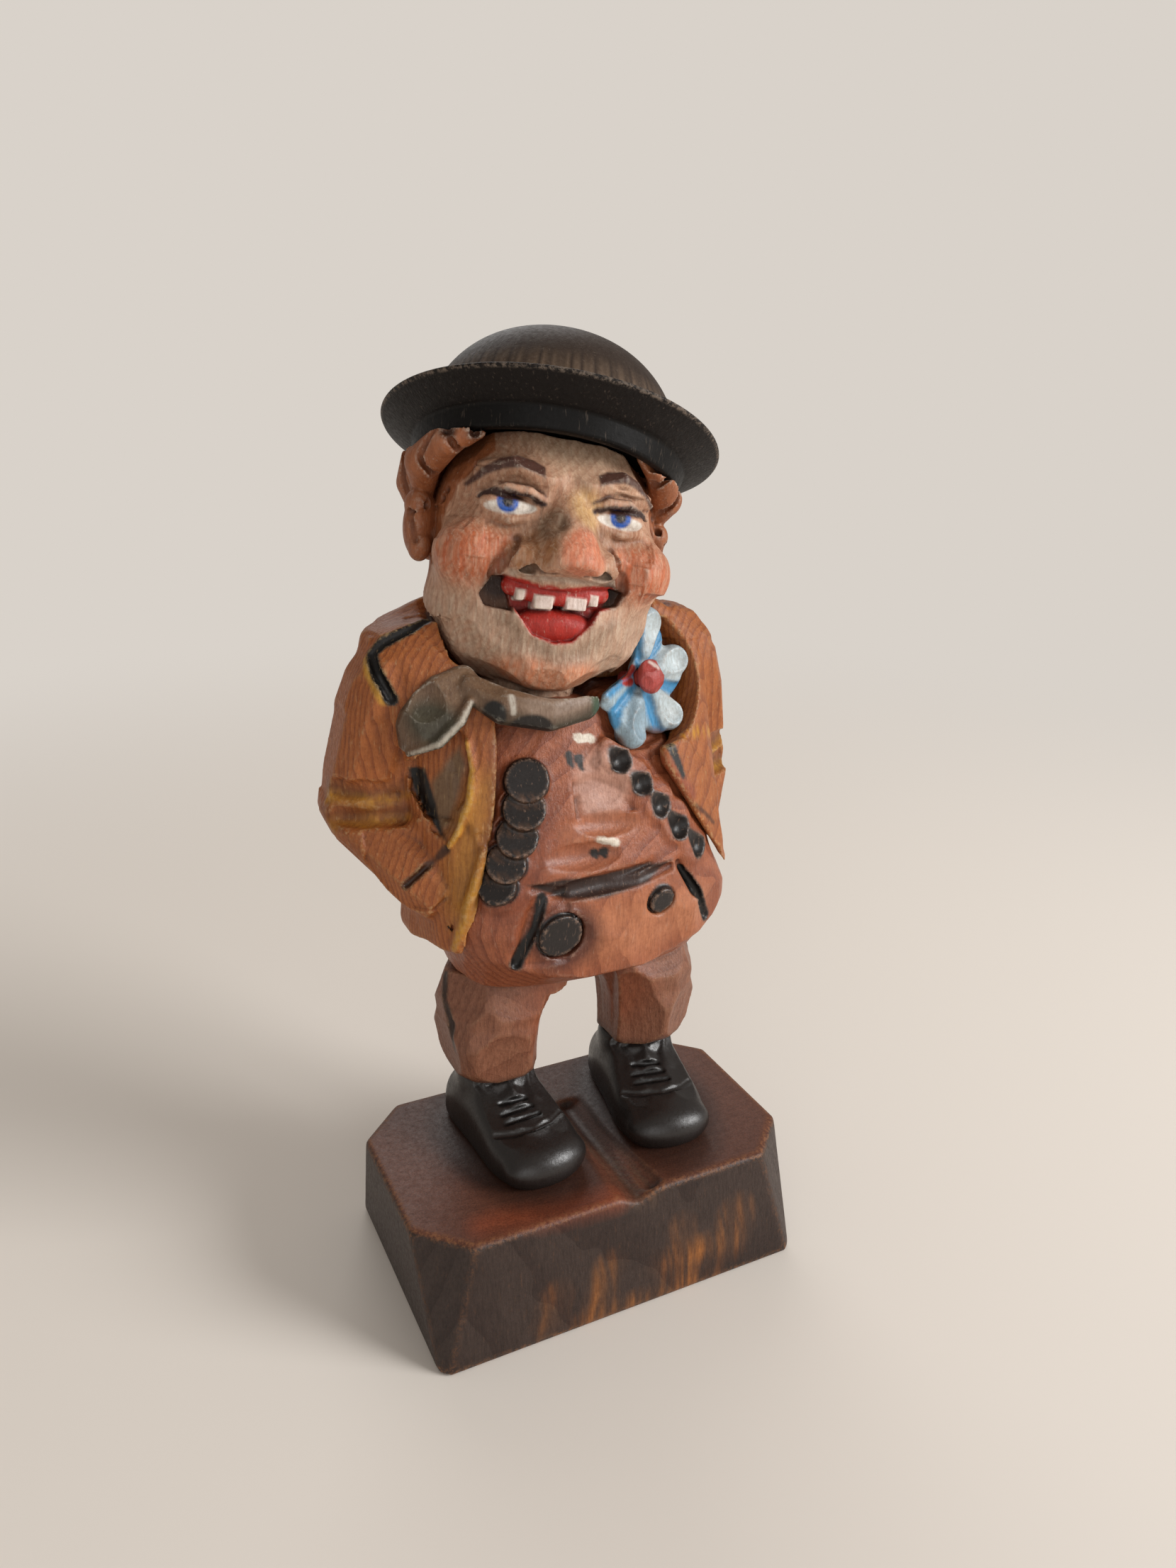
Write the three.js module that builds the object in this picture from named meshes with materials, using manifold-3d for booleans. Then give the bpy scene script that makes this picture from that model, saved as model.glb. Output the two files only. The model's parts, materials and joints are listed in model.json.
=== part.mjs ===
// Carved man figurine: a stained and painted wooden folk figure with his hands in his pockets, on a plinth.
// Millimetres, +Z up. The figure faces -Y, so his right hand is on the -X side.
// The origin is the centre of the plinth's underside.
// The figure is glued up from carved pieces on hidden dowels, and the head turns on its neck dowel.
import * as THREE from 'three';
import { mergeVertices } from 'three/addons/utils/BufferGeometryUtils.js';
import Module from 'manifold-3d';

const wasm = await Module();
wasm.setup();

// Fits
const GLUE_GAP = 0.3; // glue line between carved faces that meet on a curve
const DOWEL_GAP = 0.15; // radial room round a dowel
const BORE_GAP = 0.1; // radial running clearance of the head on its neck dowel
const NECK_GAP = 0.4; // running gap under the turning head
const HEAD_CLEARANCE = 0.8; // room that the clothes leave round the turning head

// Plinth
const PLINTH_HEIGHT = 25;
const PLINTH_TOP_WIDTH = 80;
const PLINTH_TOP_DEPTH = 47;
const PLINTH_FOOT_WIDTH = 77;
const PLINTH_FOOT_DEPTH = 52;
const PLINTH_TOP_CHAMFER = 9.5;
const PLINTH_FOOT_CHAMFER = 1.5;
const GROOVE_WIDTH = 8; // gouge cut between the shoes
const GROOVE_DEPTH = 2;

// Stance: where the legs stand on the plinth
const STANCE_X = 2.4; // midway between the ankles
const STANCE_Y = 9;
const STANCE_HALF = 16.1; // from midway to an ankle
const TOE_IN = THREE.MathUtils.degToRad(7);

// Shoes
const SHOE_HEIGHT = 15; // to the top of the ankle
const SHOE_TOE = 23; // ankle to toe tip
const SHOE_HEEL = 10; // ankle to heel
const SHOE_WIDTH = 19.5;
const TOE_SEAM = 0.8; // cut that marks the toe cap
const ANKLE_RADIUS = 8;

// Trousers
const LEG_HEIGHT = 23;
const LEG_HEM_RADIUS = 8.8;
const LEG_RADIUS = 12;
const CROTCH_SHIFT = 2.2; // how far the legs part to his left of midway
const LEG_DOWEL_RADIUS = 3;
const LEG_DOWEL_DEPTH = 15; // into the plinth, and into the torso

// Torso with its waistcoat; the body leans back and to his right from the hips up
const TORSO_HEIGHT = 54;
const TORSO_X = 3;
const TORSO_Y = 8;
const LEAN_X = -5.2; // how far the shoulders stand off the hips
const LEAN_Y = 6;
const BELLY_HALF_WIDTH = 31.5;
const BELLY_FRONT = 22.5;
const TORSO_BACK = 15;
const HEM_RISE = 9; // how far the waistcoat's hem climbs towards the sides
const BUTTON_RADIUS = 3.9;
const BUTTON_RELIEF = 1.6;
const BUTTON_PITCH = 4.6;
const BUTTON_COUNT = 5; // in each of the two rows
const BUTTON_ROW_TOP = 41.4; // over the hip, in the right row
const LOW_BUTTON_RADIUS = 5;
const POCKET_CUT = 1.5; // depth of the cuts in the waistcoat

// Jacket and sleeves
const SHOULDER_HEIGHT = 66.5; // over the hip
const SHOULDER_HALF_WIDTH = 34;
const SHOULDER_SLOPE = 10.5; // how far the shoulders climb to the neck
const JACKET_HEM = 10; // over the hip
const JACKET_HALF_WIDTH = 32;
const JACKET_FRONT = 22;
const JACKET_BACK = 16.5;
const LAPEL_CUT = 1.8; // hollow behind the rolled edge of the right lapel
const SLEEVE_X = -2; // midway between the sleeves
const SLEEVE_RADIUS = 8.9;
const CUFF_RADIUS = 7.2;
const ELBOW_OUT = 34.3;
const ELBOW_BACK = 4.5; // behind the middle of the torso
const ELBOW_HEIGHT = 34; // over the hip
const FOLD_RADIUS = 1.8; // of the two folds cut across the elbow
const ARM_DOWEL_RADIUS = 2;
const ARM_DOWEL_LENGTH = 14;
const ARM_DOWEL_HEIGHT = 30; // over the hip

// Neckerchief
const KERCHIEF_THICKNESS = 2.2;
const KERCHIEF_DROP = 2; // band in front, below the neck
const KERCHIEF_ROLL = 3.3; // radius of the rolled band at the throat

// Head and its place on the neck
const NECK_X = -6.4;
const NECK_Y = 9.1;
const NECK_HEIGHT = 54; // over the hip
const HEAD_PITCH = THREE.MathUtils.degToRad(-6.2);
const HEAD_ROLL = THREE.MathUtils.degToRad(10.2);
const HEAD_YAW = THREE.MathUtils.degToRad(-13);
const HEAD_SWING = THREE.MathUtils.degToRad(27); // room left for its turn to either side
const HEAD_HEIGHT = 46; // from the neck to the top of the skull
const HEAD_HALF_WIDTH = 20.3;
const HEAD_HALF_DEPTH = 18.5;
const NECK_RADIUS = 10.5;
const HAIR_SHIFT = -1.3; // hair and ears stand further out on his right
const EAR_FOOT = 17.2; // the clothes stay under this level round the ears and the hair
const EAR_REACH = 26.5;
const NECK_DOWEL_RADIUS = 4;
const NECK_DOWEL_LENGTH = 32;
const MOUTH_HALF_WIDTH = 12.2;
const MOUTH_CUT = 5;
const TOOTH_HEIGHT = 3.4;
const NOSE_REACH = 26.4; // from the neck's axis to the tip

// Hat
const HAT_TIP = THREE.MathUtils.degToRad(-14.5); // tipped back on the head
const HAT_ROLL = THREE.MathUtils.degToRad(3.6); // and over to his left
const HAT_X = -0.2; // middle of the hat's underside, in the head's frame
const HAT_Y = 2.7;
const HAT_DROP = 9; // below the top of the skull
const BRIM_RADIUS = 30.4;
const BRIM_FLARE = 5.5; // how far the brim spreads from the band to its lip
const BRIM_RISE = 3.8; // how far the lip stands over the brim's foot
const BAND_RADIUS = 23.6; // foot of the band below the brim
const BAND_HEIGHT = 3.6;
const CROWN_RADIUS = 23;
const CROWN_HEIGHT = 18; // over the lip
const HAT_SEAT_RADIUS = 21.5; // recess that takes the top of the head
const HAT_SEAT_DEPTH = 2.5;
const HAT_DOWEL_RADIUS = 2.5;
const HAT_DOWEL_LENGTH = 16;

// Flower
const FLOWER_X = 11.4;
const FLOWER_Y = 2;
const FLOWER_RISE = 55.6; // over the hip
const FLOWER_RADIUS = 12.6;
const FLOWER_THICKNESS = 3.6;
const PETAL_COUNT = 6;
const PEG_RADIUS = 1.5;
const PEG_DEPTH = 2.2; // behind the flower
const PEG_HEAD_RADIUS = 3.2;

// Heights that follow from the stack
const HEM_Z = PLINTH_HEIGHT + SHOE_HEIGHT;
const HIP_Z = HEM_Z + LEG_HEIGHT;
const NECK_Z = HIP_Z + NECK_HEIGHT;
const SHOULDER_Z = HIP_Z + SHOULDER_HEIGHT;
const FAR = 200; // longer than any piece, for cutting bodies

// Finishes
function wood(color, roughness = 0.55) {
  return new THREE.MeshStandardMaterial({ color, roughness, metalness: 0 });
}

// Solids

// A closed solid from a geometry whose shared vertices are merged.
function solidOf(geometry) {
  const bare = geometry.clone();
  bare.deleteAttribute('normal');
  bare.deleteAttribute('uv');
  const merged = mergeVertices(bare, 1e-4);
  const vertProperties = merged.getAttribute('position').array;
  const triVerts = new Uint32Array(merged.index.array);
  return new wasm.Manifold(new wasm.Mesh({ numProp: 3, vertProperties, triVerts }));
}

function geometryOf(solid) {
  const { vertProperties, triVerts } = solid.getMesh();
  const geometry = new THREE.BufferGeometry();
  geometry.setAttribute('position', new THREE.BufferAttribute(vertProperties, 3));
  geometry.setIndex(new THREE.BufferAttribute(triVerts, 1));
  return geometry;
}

function meshOf(name, solid, material) {
  const geometry = geometryOf(solid);
  geometry.computeVertexNormals();
  const mesh = new THREE.Mesh(geometry, material);
  mesh.name = name;
  return mesh;
}

// A skin over a stack of rings with the same number of points, closed by a fan at each end.
function loft(rings) {
  const count = rings[0].length;
  const points = rings.flat();
  const index = [];
  for (let r = 0; r + 1 < rings.length; r++) {
    for (let i = 0; i < count; i++) {
      const a = r * count + i;
      const b = r * count + ((i + 1) % count);
      index.push(a, b, b + count, a, b + count, a + count);
    }
  }
  for (const r of [0, rings.length - 1]) {
    const middle = new THREE.Vector3();
    rings[r].forEach((p) => middle.addScaledVector(p, 1 / count));
    const hub = points.push(middle) - 1;
    for (let i = 0; i < count; i++) {
      const a = r * count + i;
      const b = r * count + ((i + 1) % count);
      index.push(...(r === 0 ? [hub, b, a] : [hub, a, b]));
    }
  }
  const geometry = new THREE.BufferGeometry().setFromPoints(points);
  geometry.setIndex(index);
  return geometry;
}

// One carved section seen from above: an oval with its own front and back depth, squared by its exponent.
function ovalRing({ x = 0, y = 0, z = 0, half, front, back = front, square = 2.3, sides = 28 }) {
  const bend = (v) => Math.sign(v) * Math.abs(v) ** (2 / square);
  return Array.from({ length: sides }, (_, i) => {
    const turn = (2 * Math.PI * (i + 0.5)) / sides;
    const across = bend(Math.cos(turn));
    const along = bend(Math.sin(turn));
    return new THREE.Vector3(x + half * across, y + along * (along < 0 ? front : back), z);
  });
}

// A limb along a line of joints, each with its own radius: its sections stand square to the line.
function limb(joints, sides = 10) {
  const centres = joints.map(({ at }) => new THREE.Vector3(...at));
  const rings = joints.map(({ radius }, i) => {
    const before = centres[Math.max(i - 1, 0)];
    const after = centres[Math.min(i + 1, centres.length - 1)];
    const along = after.clone().sub(before).normalize();
    const side = new THREE.Vector3(0, 1, 0).cross(along).normalize();
    const front = along.clone().cross(side);
    return ovalRing({ half: radius, front: radius, square: 2.8, sides }).map((p) =>
      centres[i].clone().addScaledVector(side, p.x).addScaledVector(front, p.y),
    );
  });
  return solidOf(loft(rings));
}

// A dowel, or the hole for one, that stands up from z.
function rod(radius, length, { x = 0, y = 0, z = 0, sides = 20 } = {}) {
  const geometry = new THREE.CylinderGeometry(radius, radius, length, sides);
  geometry.rotateX(Math.PI / 2);
  geometry.translate(x, y, z + length / 2);
  return geometry;
}

// A straight cutter: an outline in the front view pushed from one depth to another.
function frontPrism(outline, fromY, toY) {
  const shape = new THREE.Shape(outline.map(([x, z]) => new THREE.Vector2(x, z)));
  const geometry = new THREE.ExtrudeGeometry(shape, { depth: toY - fromY, bevelEnabled: false });
  geometry.rotateX(Math.PI / 2);
  geometry.translate(0, toY, 0);
  return solidOf(geometry);
}

function box(low, high) {
  const size = high.map((v, i) => v - low[i]);
  const geometry = new THREE.BoxGeometry(...size);
  geometry.translate(...high.map((v, i) => (v + low[i]) / 2));
  return geometry;
}

function discOutline(x, z, radius) {
  const sides = 12;
  return Array.from({ length: sides }, (_, i) => {
    const turn = (2 * Math.PI * i) / sides;
    return [x + radius * Math.cos(turn), z + radius * Math.sin(turn)];
  });
}

// Points of a front outline given by their height over the hip.
const fromHip = (points) => points.map(([x, rise]) => [x, HIP_Z + rise]);

// Plinth: a block whose ends stand up, whose long sides spread, and whose corners are cut away to the top

function plinthRing(width, depth, chamfer, z) {
  const w = width / 2;
  const d = depth / 2;
  const corners = [[w, d - chamfer], [w - chamfer, d], [chamfer - w, d], [-w, d - chamfer]];
  const back = corners.map(([x, y]) => new THREE.Vector3(x, y, z));
  const front = corners.map(([x, y]) => new THREE.Vector3(-x, -y, z));
  return [...back, ...front];
}

function plinth() {
  const block = solidOf(loft([
    plinthRing(PLINTH_FOOT_WIDTH, PLINTH_FOOT_DEPTH, PLINTH_FOOT_CHAMFER, 0),
    plinthRing(PLINTH_TOP_WIDTH, PLINTH_TOP_DEPTH, PLINTH_TOP_CHAMFER, PLINTH_HEIGHT),
  ]));
  const notch = frontPrism([
    [STANCE_X - GROOVE_WIDTH / 2, PLINTH_HEIGHT],
    [STANCE_X, PLINTH_HEIGHT - GROOVE_DEPTH],
    [STANCE_X + GROOVE_WIDTH / 2, PLINTH_HEIGHT],
    [STANCE_X, PLINTH_HEIGHT + GROOVE_DEPTH],
  ], -FAR, STANCE_Y);
  return block.subtract(notch).subtract(legHole(-1)).subtract(legHole(1));
}

// Legs: each shoe and trouser leg is threaded on one dowel between the plinth and the torso

const ankleX = (side) => STANCE_X + side * STANCE_HALF;

function legRod(side, slack) {
  const foot = PLINTH_HEIGHT - LEG_DOWEL_DEPTH;
  const length = HIP_Z + LEG_DOWEL_DEPTH - foot;
  const place = { x: ankleX(side), y: STANCE_Y, z: foot - slack };
  return solidOf(rod(LEG_DOWEL_RADIUS + slack, length + 2 * slack, place));
}

const legDowel = (side) => legRod(side, 0);
const legHole = (side) => legRod(side, DOWEL_GAP);

// A shoe carved lengthways: flat sole, full toe cap, and an ankle with a level top for the trouser hem.
function shoe(side) {
  const sections = [
    { at: -1, width: 0.55, height: 0.36 },
    { at: -0.85, width: 0.8, height: 0.72 },
    { at: -0.3, width: 0.88, height: 0.95 },
    { at: 0.2, width: 0.9, height: 0.92 },
    { at: 0.42, width: 0.94, height: 0.76 },
    { at: 0.62, width: 0.98, height: 0.62 },
    { at: 0.8, width: 0.92, height: 0.57 },
    { at: 0.94, width: 0.76, height: 0.46 },
    { at: 1, width: 0.5, height: 0.28 },
  ];
  const arcPoints = 9;
  const rings = sections.map(({ at, width, height }) => {
    const y = -at * (at < 0 ? SHOE_HEEL : SHOE_TOE);
    return Array.from({ length: arcPoints }, (_, i) => {
      const turn = (Math.PI * i) / (arcPoints - 1);
      const across = Math.sign(Math.cos(turn)) * Math.abs(Math.cos(turn)) ** 0.6;
      const rise = Math.abs(Math.sin(turn)) ** 0.55;
      return new THREE.Vector3((SHOE_WIDTH / 2) * width * across, y, SHOE_HEIGHT * height * rise);
    });
  });
  const seamY = -SHOE_TOE * 0.52;
  const seam = solidOf(box(
    [-SHOE_WIDTH, seamY - TOE_SEAM / 2, SHOE_HEIGHT * 0.66 - TOE_SEAM],
    [SHOE_WIDTH, seamY + TOE_SEAM / 2, SHOE_HEIGHT],
  ));
  const ankle = solidOf(rod(ANKLE_RADIUS, SHOE_HEIGHT));
  const place = new THREE.Matrix4().makeRotationZ(-side * TOE_IN);
  place.setPosition(ankleX(side), STANCE_Y, PLINTH_HEIGHT);
  const carved = solidOf(loft(rings)).subtract(seam).add(ankle);
  return solidOf(geometryOf(carved).applyMatrix4(place)).subtract(legHole(side));
}

// A baggy trouser leg: drawn in at the hem, full over the calf, and spread to the crotch at the top.
function trouserLeg(side) {
  const spread = STANCE_HALF - side * CROTCH_SHIFT - GLUE_GAP / 2;
  const towards = (share) => LEG_HEM_RADIUS + (spread - LEG_HEM_RADIUS) * share;
  const sections = [
    { rise: 0, outer: LEG_HEM_RADIUS, inner: LEG_HEM_RADIUS },
    { rise: 0.12, outer: LEG_RADIUS - 1, inner: towards(0.05) },
    { rise: 0.4, outer: LEG_RADIUS, inner: towards(0.1) },
    { rise: 0.56, outer: LEG_RADIUS - 0.8, inner: towards(0.3) },
    { rise: 0.76, outer: LEG_RADIUS - 0.2, inner: towards(0.75) },
    { rise: 0.92, outer: LEG_RADIUS - 1.2, inner: spread },
    { rise: 1, outer: LEG_RADIUS - 2, inner: spread },
  ];
  const rings = sections.map(({ rise, outer, inner }) => {
    const half = (outer + inner) / 2;
    const x = ankleX(side) + side * (outer - half);
    return ovalRing({ x, y: STANCE_Y, z: HEM_Z + LEG_HEIGHT * rise, half, front: outer, sides: 12 });
  });
  return solidOf(loft(rings)).subtract(legHole(side));
}

// Torso: a full belly under the waistcoat, drawn in to the chest and the neck

const leanAt = (z) => (z - HIP_Z) / SHOULDER_HEIGHT;
const midX = (z) => TORSO_X + LEAN_X * leanAt(z);
const midY = (z) => TORSO_Y + LEAN_Y * leanAt(z);

const TORSO_SECTIONS = [
  { rise: 0, half: 0.83, front: 0.6, back: 0.87, climb: 0 },
  { rise: 0.075, half: 0.98, front: 0.94, back: 0.94, climb: 1 },
  { rise: 0.22, half: 1, front: 1, back: 1, climb: 0.5 },
  { rise: 0.41, half: 0.95, front: 0.98, back: 1, climb: 0 },
  { rise: 0.6, half: 0.86, front: 0.89, back: 0.93, climb: 0 },
  { rise: 0.78, half: 0.76, front: 0.78, back: 0.83, climb: 0 },
  { rise: 0.9, half: 0.63, front: 0.7, back: 0.76, climb: 0 },
  { rise: 1, half: 0.5, front: 0.63, back: 0.66, climb: 0 },
];

// How far an end section moves out when its body is grown.
const endLift = (rise, grow) => (rise === 0 ? -grow : rise === 1 ? grow : 0);

// The torso's skin, grown outwards by a gap or a thickness for what lies on it.
function torsoBody(grow = 0) {
  const rings = TORSO_SECTIONS.map(({ rise, half, front, back, climb }) => {
    const level = HIP_Z + TORSO_HEIGHT * rise;
    const reach = BELLY_HALF_WIDTH * half + grow;
    const ring = ovalRing({
      x: midX(level), y: midY(level), z: level + endLift(rise, grow),
      half: reach, front: BELLY_FRONT * front + grow, back: TORSO_BACK * back + grow, square: 2.6,
    });
    ring.forEach((p) => (p.z += HEM_RISE * climb * ((p.x - midX(level)) / reach) ** 2));
    return ring;
  });
  return solidOf(loft(rings));
}

// Relief on the torso: what a front outline keeps within a height over the skin, or cuts under it.
const raised = (outline, height) => torsoBody(height)
  .intersect(frontPrism(outline, -FAR, TORSO_Y)).intersect(jacketOpening(GLUE_GAP));
const sunk = (outline, depth) => frontPrism(outline, -FAR, TORSO_Y).subtract(torsoBody(-depth));

// Two rows of buttons that spread towards the belly, each button lapped over the next one down.
function buttons() {
  const rows = [
    { x: -12.4, top: BUTTON_ROW_TOP, lean: -1.8 },
    { x: 4.4, top: BUTTON_ROW_TOP + 2.6, lean: 4.1 },
  ];
  const small = rows.flatMap(({ x, top, lean }) => Array.from({ length: BUTTON_COUNT }, (_, i) => {
    const outline = discOutline(x + lean * i, HIP_Z + top - BUTTON_PITCH * i, BUTTON_RADIUS);
    return raised(outline, BUTTON_RELIEF * (1 - 0.14 * i));
  }));
  const low = [
    { x: -9.4, rise: 14.4, radius: LOW_BUTTON_RADIUS },
    { x: 11.3, rise: 16.9, radius: LOW_BUTTON_RADIUS / 2 },
  ].map(({ x, rise, radius }) => raised(discOutline(x, HIP_Z + rise, radius), BUTTON_RELIEF * 0.5));
  return [...small, ...low];
}

// Cuts in the waistcoat: the pocket's curved edge and a slanting slit below each end of it.
function waistcoatCuts() {
  const outlines = [
    [[-13, 21], [1, 20.8], [14, 24.6], [1, 23.8]],
    [[-13.2, 19.5], [-14.6, 19.5], [-17.6, 9], [-16.4, 9]],
    [[15, 23], [16.4, 23.4], [20.6, 15.4], [19.4, 15]],
  ];
  return outlines.map((outline) => sunk(fromHip(outline), POCKET_CUT));
}

function torso() {
  const carved = buttons().reduce((body, button) => body.add(button), torsoBody());
  const dowelHoles = [neckHole(), pegHole(), ...[-1, 1].flatMap((side) => [legHole(side), armHole(side)])];
  const hollows = [...waistcoatCuts(), headHollow(), flowerSeat(), ...dowelHoles];
  return hollows.reduce((body, hollow) => body.subtract(hollow), carved);
}

// Jacket: one outside form from hem to shoulders, hollowed for the torso and the head, and open in front

const JACKET_SECTIONS = [
  { rise: 0, half: JACKET_HALF_WIDTH, front: JACKET_FRONT - 1, back: JACKET_BACK },
  { rise: 0.15, half: JACKET_HALF_WIDTH + 0.5, front: JACKET_FRONT, back: JACKET_BACK + 0.5 },
  { rise: 0.36, half: JACKET_HALF_WIDTH, front: JACKET_FRONT - 0.8, back: JACKET_BACK - 0.5 },
  { rise: 0.61, half: JACKET_HALF_WIDTH, front: JACKET_FRONT - 3, back: JACKET_BACK - 2.5 },
  { rise: 0.79, half: SHOULDER_HALF_WIDTH - 1.5, front: JACKET_FRONT - 5.5, back: JACKET_BACK - 4 },
  { rise: 0.93, half: SHOULDER_HALF_WIDTH, front: JACKET_FRONT - 10, back: JACKET_BACK - 5.5 },
  { rise: 0.98, half: SHOULDER_HALF_WIDTH - 1, front: JACKET_FRONT - 13, back: JACKET_BACK - 6.5, up: 0.8 },
  { rise: 1, half: SHOULDER_HALF_WIDTH - 5, front: JACKET_FRONT - 16, back: JACKET_BACK - 8.5, up: 1 },
];

function jacketForm(grow = 0) {
  return solidOf(loft(JACKET_SECTIONS.map(({ rise, half, front, back, up = 0 }) => {
    const level = HIP_Z + JACKET_HEM + (SHOULDER_HEIGHT - JACKET_HEM) * rise;
    const ring = ovalRing({
      x: midX(level), y: midY(level), z: level + endLift(rise, grow),
      half: half + grow, front: front + grow, back: back + grow, square: 2.9, sides: 24,
    });
    const nearNeck = (p) => 1 - Math.abs(p.x - midX(level)) / (half + grow);
    ring.forEach((p) => (p.z += SHOULDER_SLOPE * up * nearNeck(p)));
    return ring;
  })));
}

// The jacket's open front, wider on his left, with the edges drawn in by a margin.
function jacketOpening(margin = 0) {
  const rightEdge = [[-16, 75], [-17.5, 47], [-19, 36], [-21.5, 25], [-25, 10], [-26, -10]];
  const leftEdge = [[36, -10], [35.5, 8], [31, 17], [21.5, 30], [14.5, 41], [13, 51], [13, 75]];
  const inset = (edge, shift) => edge.map(([x, rise]) => [x + shift, rise]);
  const outline = fromHip([...inset(rightEdge, margin), ...inset(leftEdge, -margin)]);
  return frontPrism(outline, -FAR, TORSO_Y - margin);
}

// A bent sleeve: from the shoulder back to the elbow, then forward and down into the pocket.
function sleeve(side) {
  const between = (a, b, t) => a.map((v, i) => v + (b[i] - v) * t);
  const at = (out, back, level) => [SLEEVE_X + side * out, midY(level) + back, level];
  const shoulder = at(SHOULDER_HALF_WIDTH - 6.5, -2, SHOULDER_Z - 6.5);
  const elbow = at(ELBOW_OUT, ELBOW_BACK, HIP_Z + ELBOW_HEIGHT);
  const cuff = at(JACKET_HALF_WIDTH - 9, -10, HIP_Z + 19);
  const upper = limb([
    { at: between(shoulder, elbow, -0.08), radius: SLEEVE_RADIUS - 2.6 },
    { at: between(shoulder, elbow, 0.12), radius: SLEEVE_RADIUS - 0.6 },
    { at: between(shoulder, elbow, 0.4), radius: SLEEVE_RADIUS },
    { at: between(shoulder, elbow, 0.8), radius: SLEEVE_RADIUS - 0.4 },
    { at: between(shoulder, elbow, 1.12), radius: SLEEVE_RADIUS - 1.6 },
  ]);
  const fore = limb([
    { at: between(elbow, cuff, -0.15), radius: SLEEVE_RADIUS - 1.8 },
    { at: between(elbow, cuff, 0.12), radius: SLEEVE_RADIUS - 0.4 },
    { at: between(elbow, cuff, 0.8), radius: CUFF_RADIUS },
    { at: cuff, radius: CUFF_RADIUS - 1.5 },
  ]);
  const foldPath = [[7.2, -5.5], [0.8, -10.6], [-4.8, -11.8]];
  const folds = [5, 0.6].map((rise) => limb(foldPath.map(([out, back]) => ({
    at: at(ELBOW_OUT + out, ELBOW_BACK + back, elbow[2] + rise), radius: FOLD_RADIUS,
  }))));
  return folds.reduce((arm, fold) => arm.subtract(fold), upper.add(fore));
}

// The leaf-shaped hollow that a gouge leaves behind the rolled edge of the right lapel.
function lapelHollow() {
  const leaf = fromHip([
    [-23.2, 51], [-26, 49], [-30.6, 44], [-30, 39], [-27.6, 32], [-23.8, 39], [-21.6, 45],
  ]);
  return frontPrism(leaf, -FAR, TORSO_Y).subtract(jacketForm(-LAPEL_CUT));
}

function jacketHalf(side) {
  const seam = GLUE_GAP / 2;
  const keep = side < 0
    ? box([-FAR, -FAR, 0], [TORSO_X - seam, FAR, FAR])
    : box([TORSO_X + seam, -FAR, 0], [FAR, FAR, FAR]);
  const shell = jacketForm().intersect(solidOf(keep)).subtract(jacketOpening()).add(sleeve(side));
  const fittings = side < 0 ? [lapelHollow()] : [flowerSeat(), pegHole()];
  const hollows = [torsoBody(GLUE_GAP), headHollow(), neckHole(), armHole(side), ...fittings];
  return hollows.reduce((body, hollow) => body.subtract(hollow), shell);
}

// Blind dowels that hold the jacket halves to the torso

function armRod(side, slack) {
  const level = HIP_Z + ARM_DOWEL_HEIGHT;
  const radius = ARM_DOWEL_RADIUS + slack;
  const geometry = new THREE.CylinderGeometry(radius, radius, ARM_DOWEL_LENGTH + 2 * slack, 16);
  geometry.rotateZ(Math.PI / 2);
  geometry.translate(midX(level) + side * BELLY_HALF_WIDTH * 0.88, midY(level), level);
  return solidOf(geometry);
}

const armDowel = (side) => armRod(side, 0);
const armHole = (side) => armRod(side, DOWEL_GAP);

// Neckerchief: it fills the collar in front of the neck, with a pointed wing laid over the right lapel

function neckerchief() {
  const low = NECK_HEIGHT - KERCHIEF_DROP;
  const bandOutline = fromHip([
    [-24, low + 6], [-18, low + 3], [-9, low], [0, low + 1], [5, low + 3], [5, low + 28], [-24, low + 28],
  ]);
  const wingOutline = fromHip([
    [-14, low + 10], [-22.3, low + 9.5], [-27, low + 8], [-30.3, low + 5.2], [-32.3, low + 2],
    [-33, low - 0.5], [-32.5, low - 5], [-27, low - 2.5], [-24, low + 1], [-21.7, low + 4.2],
    [-14, low + 2],
  ]);
  const front = jacketForm(KERCHIEF_THICKNESS);
  const band = frontPrism(bandOutline, -FAR, TORSO_Y).intersect(front).intersect(jacketOpening(GLUE_GAP));
  const wing = frontPrism(wingOutline, -FAR, TORSO_Y).intersect(front);
  const roll = limb([
    { at: [-22, 0, 6.4], radius: KERCHIEF_ROLL * 0.7 },
    { at: [-16.5, -4.6, 3.2], radius: KERCHIEF_ROLL },
    { at: [-9, -6.2, 1.6], radius: KERCHIEF_ROLL },
    { at: [-2, -5, 2.4], radius: KERCHIEF_ROLL },
    { at: [2, -3, 4], radius: KERCHIEF_ROLL * 0.7 },
  ].map(({ at: [x, y, rise], radius }) => ({ at: [x, y, HIP_Z + low + rise], radius })));
  const jacket = jacketForm(GLUE_GAP).subtract(jacketOpening(GLUE_GAP));
  const hollows = [jacket, sleeve(-1), torsoBody(GLUE_GAP), headHollow(), neckHole(), flowerSeat()];
  return hollows.reduce((body, hollow) => body.subtract(hollow), band.add(wing).add(roll));
}

// Head: carved round the neck's axis in its own leaning frame, whose origin is on that axis at the neck

const headPlace = new THREE.Matrix4().makeRotationFromEuler(
  new THREE.Euler(HEAD_PITCH, HEAD_ROLL, HEAD_YAW, 'YXZ'),
);
headPlace.setPosition(NECK_X, NECK_Y, NECK_Z);

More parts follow.
